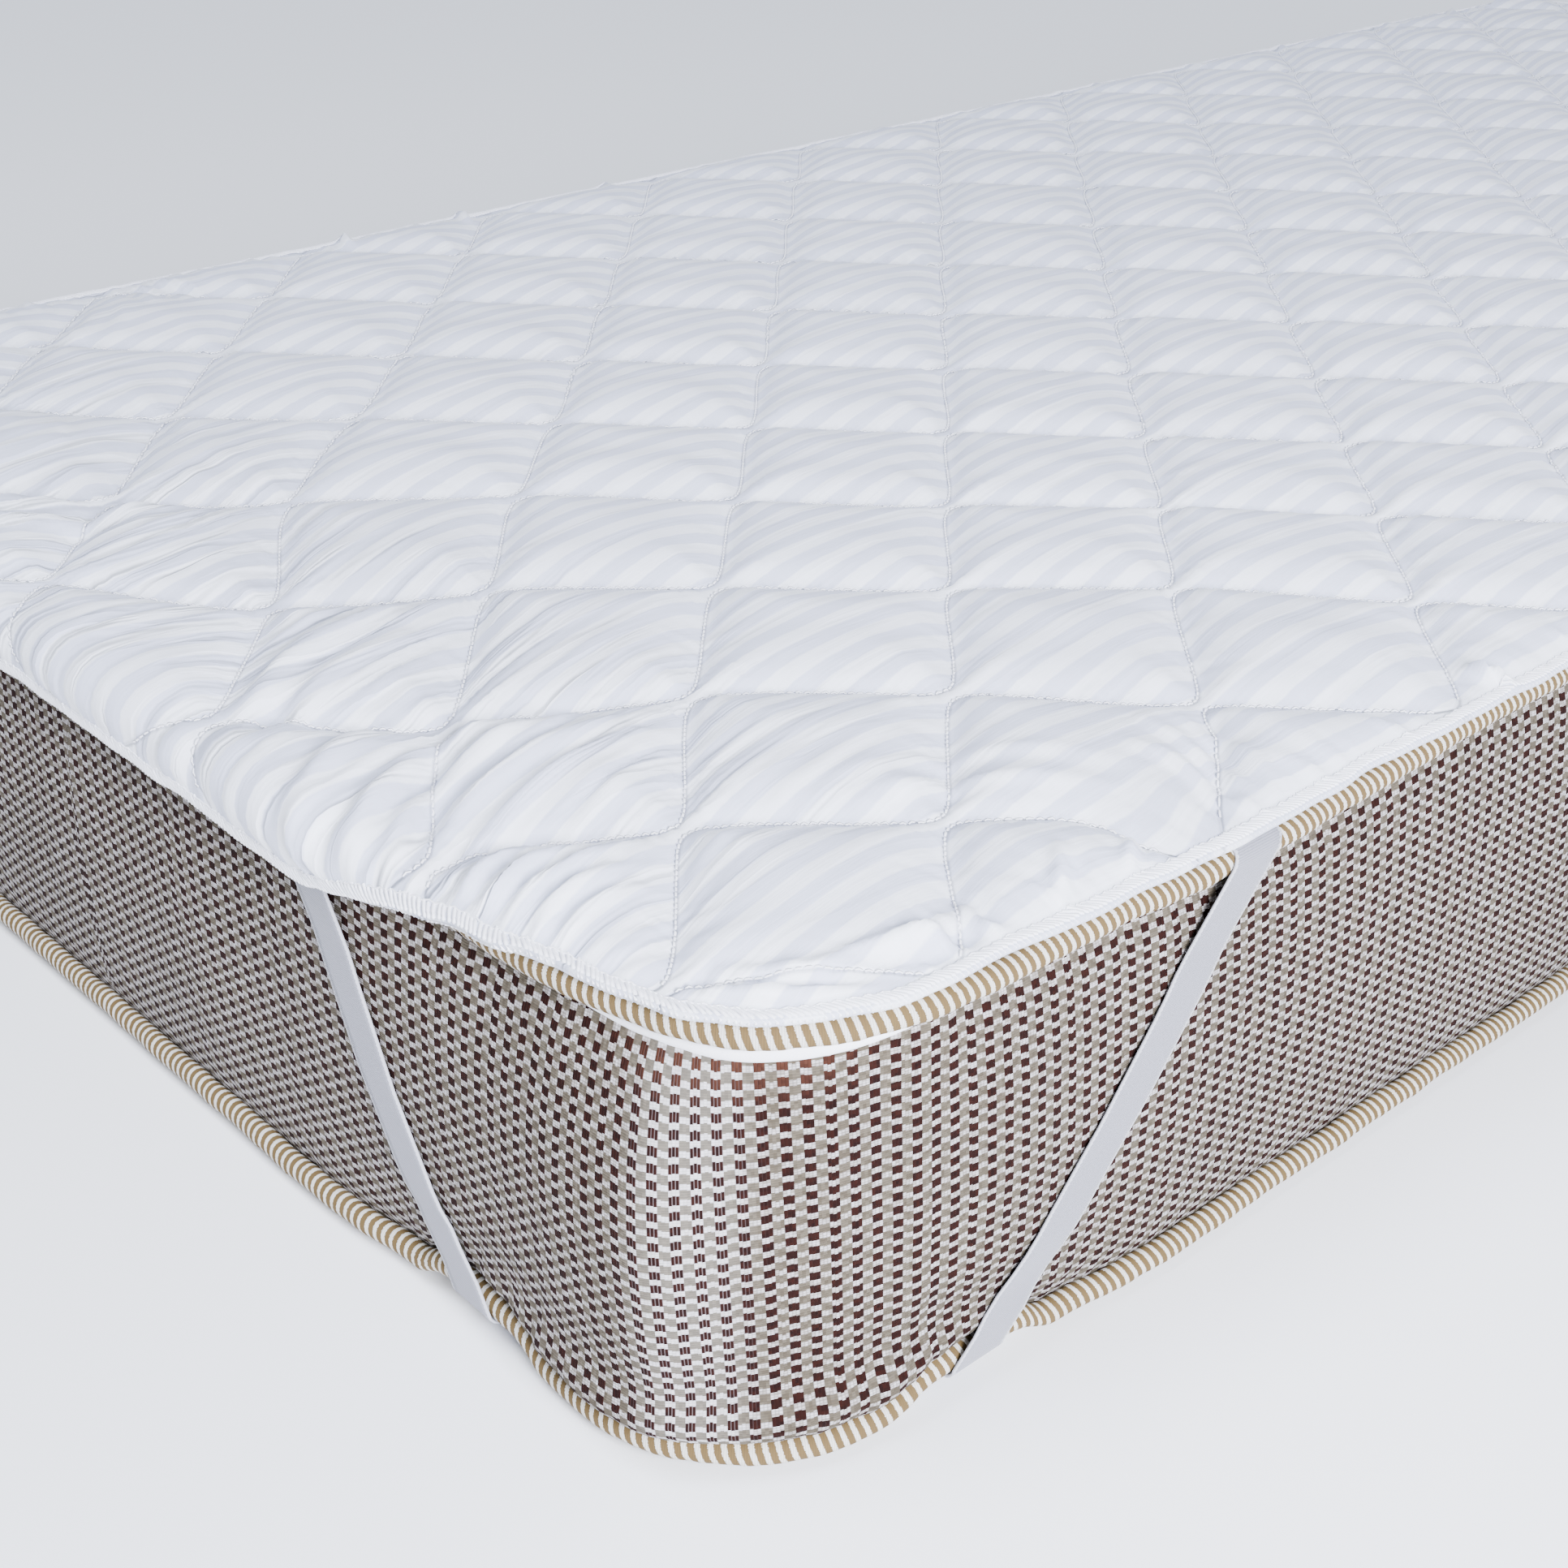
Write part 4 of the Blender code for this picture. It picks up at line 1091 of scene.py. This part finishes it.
def graded(low, fine_to, middling_to, high):
    """Places from low to high, finest at the low end."""
    places = [np.linspace(start, end, round((end - start) / step) + 1)[:-1] for start, end, step in (
        (low, fine_to, FINE), (fine_to, middling_to, MIDDLING), (middling_to, high, COARSE))]
    return np.append(np.concatenate(places), high)


def press_corners(x, y):
    """Press the square corners of the grid into quarter discs, and add the overhang."""
    ax, ay = np.abs(x), np.abs(y)
    p = (ax - (PAD_HALF_LENGTH - PAD_CORNER_RADIUS)) / PAD_CORNER_RADIUS
    q = (ay - (PAD_HALF_WIDTH - PAD_CORNER_RADIUS)) / PAD_CORNER_RADIUS
    corner = (p > 0) & (q > 0)
    radius = np.maximum(p, q)
    small = np.minimum(p, q) / np.where(radius > 0, radius, 1)
    angle = np.where(q <= p, small * pi / 4, pi / 2 - small * pi / 4)
    px = np.where(corner, radius * np.cos(angle), p)
    qy = np.where(corner, radius * np.sin(angle), q)
    new_x = (PAD_HALF_LENGTH - PAD_CORNER_RADIUS) + px * PAD_CORNER_RADIUS
    new_y = (PAD_HALF_WIDTH - PAD_CORNER_RADIUS) + qy * PAD_CORNER_RADIUS
    stretch = np.clip((new_x - OVERHANG_FROM) / (PAD_HALF_LENGTH - OVERHANG_FROM), 0, 1)
    new_x = new_x + overhang(HALF_WIDTH - new_y) * stretch
    return np.sign(x) * new_x, np.sign(y) * new_y


def edge_waver(laid):
    """The hem is a little wavy in plan."""
    edge = hem_distance(laid)
    share = np.exp(-np.maximum(edge, 0) / HEM_WAVER_REACH)
    along = laid[:, 0] - laid[:, 1]
    waver = HEM_WAVER * share * ripple(along, 0.035, 0.14, 91)
    middle = np.array([PAD_HALF_LENGTH - PAD_CORNER_RADIUS, PAD_HALF_WIDTH - PAD_CORNER_RADIUS])
    past = np.maximum(np.abs(laid) - middle, 0)
    turn = np.arctan2(past[:, 1], np.maximum(past[:, 0], 1e-6))
    on_arc = ARC_START + CORNER_RADIUS * turn
    s = np.where(past[:, 1] <= 0, np.minimum(np.abs(laid[:, 1]), ARC_START), on_arc)
    s = np.where(past[:, 0] <= 0, LONG_START + middle[0] - np.abs(laid[:, 0]), s)
    waver = waver - share * np.interp(s, GIVE_RUN, GIVE_HEM)
    outward = np.sign(laid) * past
    length = np.maximum(np.linalg.norm(outward, axis=1), 1e-6)[:, None]
    return laid + outward / length * waver[:, None]


def make_pad():
    """The face, the strip of underside that can be seen, and the rim between them."""
    xs = graded(-PAD_HALF_LENGTH, -0.72, -0.40, PAD_HALF_LENGTH)
    ys = graded(-PAD_HALF_WIDTH, -0.20, 0.10, PAD_HALF_WIDTH)
    grid_x, grid_y = np.meshgrid(xs, ys)
    x, y = press_corners(grid_x.ravel(), grid_y.ravel())
    even = np.column_stack([x, y])
    laid = edge_waver(even)
    flat = flat_place(laid)
    face = lay(laid, pad_heights(laid, flat, hem_distance(even)))
    rows, columns = len(ys), len(xs)
    faces = rows_of_faces(rows, columns)
    numbers = np.arange(rows * columns).reshape(rows, columns)
    row_in = np.minimum(np.arange(rows), rows - 1 - np.arange(rows))
    column_in = np.minimum(np.arange(columns), columns - 1 - np.arange(columns))
    inward = np.minimum(row_in[:, None], column_in[None])
    kept = (inward <= UNDER_ROWS).ravel()
    under_number = np.full(rows * columns, -1)
    under_number[kept] = np.arange(kept.sum()) + rows * columns
    quads_inside = (inward[:-1, :-1] >= UNDER_ROWS) & (inward[1:, 1:] >= UNDER_ROWS)
    quads_inside &= (inward[:-1, 1:] >= UNDER_ROWS) & (inward[1:, :-1] >= UNDER_ROWS)
    under_faces = under_number[faces[~quads_inside.ravel()]]
    under = lay(laid[kept], np.zeros(kept.sum()))
    rim = np.concatenate([numbers[0, :-1], numbers[:-1, -1], numbers[-1, :0:-1], numbers[:0:-1, 0]])
    rim_next = np.roll(rim, -1)
    rim_place = (face[rim] + lay(laid[rim], np.zeros(len(rim)))) / 2
    middle = rim_place[:, :2].copy()
    outward = middle - np.clip(middle, [-0.85, -0.36], [0.85, 0.36])
    rim_place[:, :2] += RIM_OUT * outward / np.linalg.norm(outward, axis=1)[:, None]
    rim_number = np.arange(len(rim)) + rows * columns + kept.sum()
    rim_number_next = np.roll(rim_number, -1)
    rim_faces = np.concatenate([
        np.column_stack([rim_next, rim, rim_number, rim_number_next]),
        np.column_stack([rim_number_next, rim_number, under_number[rim], under_number[rim_next]])])
    all_points = np.concatenate([face, under, rim_place])
    all_faces = np.concatenate([faces, under_faces[:, ::-1], rim_faces])
    uv = np.concatenate([flat, flat[kept], flat[rim]])
    piece = cloth_piece("quilted_pad", all_points, all_faces, uv=uv, material=PAD_CLOTH)
    pulled = np.concatenate([pulled_share(laid), np.zeros(len(all_points) - len(laid))])
    piece.data.attributes.new("pulled", "FLOAT", "POINT").data.foreach_set("value", pulled)
    # Painted shade under the overlock: 1 under the loops and on the rim, 0 further in
    shade_under_hem = np.clip((HEM_COVER - hem_distance(even)) / HEM_FADE, 0, 1)
    shade_under_hem = np.concatenate([shade_under_hem, np.zeros(kept.sum()), np.ones(len(rim))])
    piece.data.attributes.new("shade_under_hem", "FLOAT", "POINT").data.foreach_set("value", shade_under_hem)
    close_ends(piece)
    return piece


pad = make_pad()

# %% [markdown]
# Threads have to lie on the cloth as it really came out, so each thread point is moved to the
# nearest place on the finished pad, and a little off it.

# %% Find the cloth's surface
surface = BVHTree.FromObject(pad, bpy.context.evaluated_depsgraph_get())


def on_cloth(points, above):
    """Each point moved onto the pad, and a little above it."""
    moved = np.empty_like(points)
    for number, point in enumerate(points):
        place, normal, _, _ = surface.find_nearest(point)
        moved[number] = place + normal * above
    return moved


# %% [markdown]
# The hem is overlocked: a thread runs over the cloth's edge in slanting loops, close together.
# One loop is a short bent tube of a few faces, and it is repeated all round. Sewing thread is too
# fine to show from here, so both threads are drawn thicker than real ones.

# %% Overlocked hem
LOOP_STEP = 0.0024
LOOP_SIDES = 4
LOOP_REACH = 0.0056
LOOP_RADIUS = 0.00084
LOOP_LEAN = 0.0058
SEAM_STEP, SEAM_RADIUS = 0.0030, 0.00045
LOOK_ALONG = 0.004


def hem_line(step):
    """Points along the pad's edge, flat, with the inward direction."""
    straight_x = PAD_HALF_LENGTH - PAD_CORNER_RADIUS
    straight_y = PAD_HALF_WIDTH - PAD_CORNER_RADIUS
    arc = np.linspace(0, pi / 2, 60)
    corner = np.column_stack([straight_x + PAD_CORNER_RADIUS * np.cos(arc),
                              straight_y + PAD_CORNER_RADIUS * np.sin(arc)])
    ends = np.linspace(0, straight_y, 160)[:-1]
    end = np.column_stack([np.full(len(ends), PAD_HALF_LENGTH), ends])
    quarter = np.vstack([end, corner, [(0.0, PAD_HALF_WIDTH)]])
    quarter[:, 0] += overhang(HALF_WIDTH - quarter[:, 1]) * (quarter[:, 0] > OVERHANG_FROM)
    mirrored = quarter[::-1] * (-1, 1)
    loop = np.vstack([quarter, mirrored, quarter * (-1, -1), mirrored * (-1, -1)])
    keep = np.append(True, np.linalg.norm(np.diff(loop, axis=0), axis=1) > 1e-7)
    loop = loop[keep]
    run = runs_of(loop)
    places = np.arange(0, run[-1], step)
    along = places_on(loop, run, places + LOOK_ALONG) - places_on(loop, run, places - LOOK_ALONG)
    along /= np.maximum(np.linalg.norm(along, axis=1), 1e-9)[:, None]
    inward = np.column_stack([-along[:, 1], along[:, 0]])
    return places_on(loop, run, places), along, inward


def tubes(paths, radius, sides):
    """Round threads along many paths of the same number of points, as one mesh."""
    count, length = paths.shape[:2]
    along = np.gradient(paths, axis=1)
    along /= np.maximum(np.linalg.norm(along, axis=2), 1e-9)[..., None]
    up = np.broadcast_to(np.array([0.13, 0.21, 1.0]), along.shape)
    across = np.cross(along, up)
    across /= np.maximum(np.linalg.norm(across, axis=2), 1e-9)[..., None]
    up = np.cross(across, along)
    turns = 2 * pi * np.arange(sides) / sides
    points = paths[:, :, None] + radius * (across[:, :, None] * np.cos(turns)[:, None]
                                           + up[:, :, None] * np.sin(turns)[:, None])
    one = rows_of_faces(length, sides, closed=True)
    faces = one[None] + (np.arange(count) * length * sides)[:, None, None]
    return points.reshape(-1, 3), faces.reshape(-1, 4)


def make_overlock():
    """The loops over the edge, and the needle's thread along their inner ends."""
    edge, along, inward = hem_line(LOOP_STEP)
    draw = np.random.default_rng(5)
    count = len(edge)
    reach = LOOP_REACH + draw.uniform(-0.0006, 0.0006, count)
    lean = LOOP_LEAN + draw.uniform(-0.0005, 0.0005, count)
    paths = []
    # Distance in from the edge as a share of the reach, height over the cloth, share of the lean
    for share, above, slant in ((1.0, -0.0002, 0.0), (0.8, 0.0002, 0.2), (0.45, 0.0003, 0.55),
                                (0.15, 0.0002, 0.85), (0.00, -0.0013, 1.0), (0.20, -0.0030, 1.1)):
        flat_edge = edge + inward * (share * reach)[:, None] + along * (slant * lean)[:, None]
        laid = edge_waver(flat_edge)
        if share < 0.1:
            paths.append(lay(laid, HEM_THICKNESS + above))
            continue
        heights = pad_heights(laid, flat_place(laid), hem_distance(flat_edge))
        paths.append(on_cloth(lay(laid, heights), above))
    points, faces = tubes(np.stack(paths, 1), LOOP_RADIUS, LOOP_SIDES)
    edge, along, inward = hem_line(SEAM_STEP)
    flat_edge = edge + inward * (LOOP_REACH + 0.0004 * np.cos(pi * np.arange(len(edge))))[:, None]
    laid = edge_waver(flat_edge)
    line = on_cloth(lay(laid, pad_heights(laid, flat_place(laid), hem_distance(flat_edge))), 0.0002)
    seam, seam_faces = tubes(line[None], SEAM_RADIUS, LOOP_SIDES)
    points, faces, uv = joined([(points, faces, points[:, :2]), (seam, seam_faces, seam[:, :2])])
    return cloth_piece("overlocked_hem", points, faces, uv=uv, material=THREAD)


overlock = make_overlock()

# %% [markdown]
# The quilting thread shows as a row of short stitches, 3.6 mm apart, that sink into the channel.
# Each one is a small three-sided tube, arched between the two holes of the needle.

# %% Quilting stitches
STITCH_STEP = 0.0036
STITCH_RADIUS = 0.00058
STITCH_FROM_EDGE = 0.0105


def make_stitches():
    """Every stitch of every row that lies on the pad."""
    paths = []
    for row in QUILT_ROWS:
        x = np.linspace(-1.0, 1.0, 16000)
        y, slope = quilt_row(row, x)
        run = np.append(0, np.cumsum(np.hypot(np.diff(x), np.diff(y))))
        starts = np.arange(0, run[-1], STITCH_STEP)
        line = np.column_stack([x, y])
        stations = [places_on(line, run, starts + share * STITCH_STEP) for share in (0.0, 0.36, 0.72)]
        laid = [station + dragged(station) for station in stations]
        inside = hem_distance(laid[1]) > STITCH_FROM_EDGE
        inside &= np.abs(laid[1][:, 0]) < 1.0
        stitch = []
        for place, flat, above in zip(laid, stations, (-0.0001, 0.0005, -0.0001)):
            heights = pad_heights(place[inside], flat[inside], hem_distance(place[inside]))
            stitch.append(on_cloth(lay(place[inside], heights), above))
        paths.append(np.stack(stitch, 1))
    points, faces = tubes(np.concatenate(paths), STITCH_RADIUS, 3)
    return cloth_piece("quilting_stitches", points, faces, uv=points[:, :2], material=THREAD)


stitches = make_stitches()

# %% [markdown]
# A strap is one length of elastic: from under the hem on one side, over the top piping, down the
# border, round the bottom piping, across under the corner and up the other side. It is taut, so
# it lies straight between the places that it bends over. It starts as a ribbon and is given its
# thickness at the end.

# %% Elastic straps
STRAP_THICKNESS = 0.0010
STRAP_GAP = 0.0005
STRAP_TUCK = 0.043
STRAP_FLOOR_GAP = 0.0003
STRAP_COLUMNS = 7
LIE = STRAP_GAP + STRAP_THICKNESS / 2
# The bottom cord wavers, so the strap keeps this much clear of it
LOW_CLEAR = 0.0006
WALL_LEVELS = np.linspace(0.185, 0.030, 22)


def leg_line(top, bottom, notch, long_side):
    """Rows of run from the corner, out, z along one leg, for the middle of the strap."""
    round_top = PIPING_RADIUS + LIE
    round_low = round_top + LOW_CLEAR
    low_out = PIPING_OUT - draw_in(np.array(notch))
    low_z = PIPING_LOW + lift(np.array(notch))
    top_s = LONG_START + top - CORNER_RADIUS if long_side else HALF_WIDTH - top
    top_z = PIPING_HIGH + top_up(top_s)
    rows = [(-STRAP_TUCK, 0.2035 + LIE), (-0.020, 0.2032 + LIE), (-0.006, 0.2031 + LIE)]
    for angle in np.radians([80, 60, 40, 20, 5]):
        rows.append((PIPING_OUT + round_top * np.cos(angle), top_z + round_top * np.sin(angle)))
    top_out = rows[-1][0]
    for z in WALL_LEVELS:
        share = (top_z - z) / (top_z - low_z)
        taut = top_out + share * (low_out + round_low - top_out)
        s = notch + (z - low_z) / (PIPING_HIGH - low_z) * (top - bottom) * (1 if long_side else -1)
        rest = max(WALL[0, 0], z)
        wall = wall_surface(np.array(s), np.array(rest), follow_notch=False)[1]
        rows.append((max(taut, float(wall) + 2 * LIE), z))
    for angle in np.radians([-5, -25, -45, -65, -85]):
        rows.append((low_out + round_low * np.cos(angle), low_z + round_low * np.sin(angle)))
    rows = np.array(rows, float)
    away = bottom + (top - bottom) * np.clip((rows[:, 1] - low_z) / (PIPING_HIGH - low_z), 0, 1)
    # The end under the hem runs on at the same slant
    tucked = (rows[:, 0] < 0) & (rows[:, 1] > HEIGHT / 2)
    away[tucked] = top + (top - bottom) / (PIPING_HIGH - low_z) * -rows[tucked, 0]
    return away, rows


def make_strap(number):
    """One strap and its length."""
    sx, sy = CORNERS[number]
    edges = []
    for top, bottom, notch, long_side in ((LONG_LEG_TOP, LONG_LEG_BOTTOM, NOTCHES[1], True),
                                          (SHORT_LEG_TOP, SHORT_LEG_BOTTOM, NOTCHES[0], False)):
        away, rows = leg_line(top, bottom, notch, long_side)
        wall_run = PIPING_HIGH - PIPING_LOW - lift(np.array(notch))
        half = STRAP_WIDTH / 2 * np.hypot(1, (top - bottom) / wall_run)
        two = []
        for shift in (-half, half):
            along, out = -away - shift, rows[:, 0]
            in_x, in_y = (along, out) if long_side else (out, along)
            two.append(np.column_stack([sx * (HALF_LENGTH + in_x), sy * (HALF_WIDTH + in_y), rows[:, 1]]))
        edges.append(np.stack(two, 1))
    long_leg, short_leg = edges
    start, end = long_leg[-1], short_leg[-1]
    under = []
    for share in np.linspace(0, 1, 14)[1:-1]:
        ends = start + (end - start) * share
        across = ends[1] - ends[0]
        across[2] = 0
        across *= STRAP_WIDTH / 2 / np.linalg.norm(across)
        middle = ends.mean(0)
        middle[2] = STRAP_FLOOR_GAP + STRAP_THICKNESS / 2
        under.append(np.stack([middle - across, middle + across]))
    ribbon = np.concatenate([long_leg, np.array(under), short_leg[::-1]])
    shares = np.linspace(0, 1, STRAP_COLUMNS)
    points = ribbon[:, :1] * (1 - shares)[None, :, None] + ribbon[:, 1:] * shares[None, :, None]
    run = runs_of(ribbon.mean(1))
    uv = np.stack(np.broadcast_arrays(shares[None] * STRAP_WIDTH, run[:, None]), -1)
    faces = rows_of_faces(len(points), STRAP_COLUMNS)
    piece = cloth_piece(f"elastic_strap_{number + 1}", points.reshape(-1, 3), faces,
                        uv=uv.reshape(-1, 2), material=ELASTIC)
    only(piece)
    solid = piece.modifiers.new("thickness", "SOLIDIFY")
    solid.thickness = STRAP_THICKNESS
    solid.offset = 0
    bpy.ops.object.modifier_apply(modifier=solid.name)
    close_ends(piece)
    print("strap length", round(float(run[-1]), 3))
    return piece, float(run[-1])


straps = [make_strap(number) for number in range(4)]

# %% [markdown]
# Each piece is hung under the root body, and the CAD solids that it stands for are hidden.

# %% Hang each piece under the root, and hide its CAD solids
for piece, nodes, slot in ((mattress, ["mattress"], "border_cloth"),
                           (piping_top, ["piping_top"], "piping_cloth"),
                           (piping_bottom, ["piping_bottom"], "piping_cloth"),
                           (seam_tape, [], "pad_cloth"),
                           (pad, ["protector_pad"], "pad_cloth"),
                           (overlock, [], "pad_cloth"),
                           (stitches, [], "pad_cloth")):
    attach(piece, "root")
    if nodes:
        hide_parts(*nodes)
for number, (strap, length) in enumerate(straps, start=1):
    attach(strap, "root")
    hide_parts(f"corner_strap_{number}")

# %% [markdown]
# A pale floor and soft studio light: a low soft key behind the camera and to its right, which
# shades the far side of every puff and fold, a broad light from overhead, and an even surround.

# %% Floor and light
bpy.ops.mesh.primitive_plane_add(size=24, location=(0, 0, -0.0002))
floor = bpy.context.object
floor.name = "studio_floor"
floor_paint, floor_tree, floor_shader = new_material("Matt white floor", Roughness=0.9)
floor_shader.inputs["Base Color"].default_value = linear("#fbfbfb")
floor.data.materials.append(floor_paint)

world = bpy.data.worlds.new("Soft surround")
world.use_nodes = True
bpy.context.scene.world = world
world.node_tree.nodes["Background"].inputs["Color"].default_value = linear("#ebf1ff")
world.node_tree.nodes["Background"].inputs["Strength"].default_value = 0.33

LIT_CORNER = Vector((-0.9, -0.4, 0.18))
for name, kind, toward, colour, power in (
        ("overhead", "SUN", (-0.28, 0.12, 0.95), "#e6eeff", 3.6),
        ("key", "AREA", (-0.46, -1.55, 0.86), "#eef2ff", 172)):
    bpy.ops.object.light_add(type=kind, location=LIT_CORNER + Vector(toward))
    lamp = bpy.context.object
    lamp.name = "softbox_" + name
    lamp.rotation_euler = Vector(toward).to_track_quat("Z", "Y").to_euler()
    lamp.data.color = linear(colour)[:3]
    lamp.data.energy = power
    if kind == "SUN":
        lamp.data.angle = radians(28)
    else:
        lamp.data.size = 0.7
print("floor and lights in place")
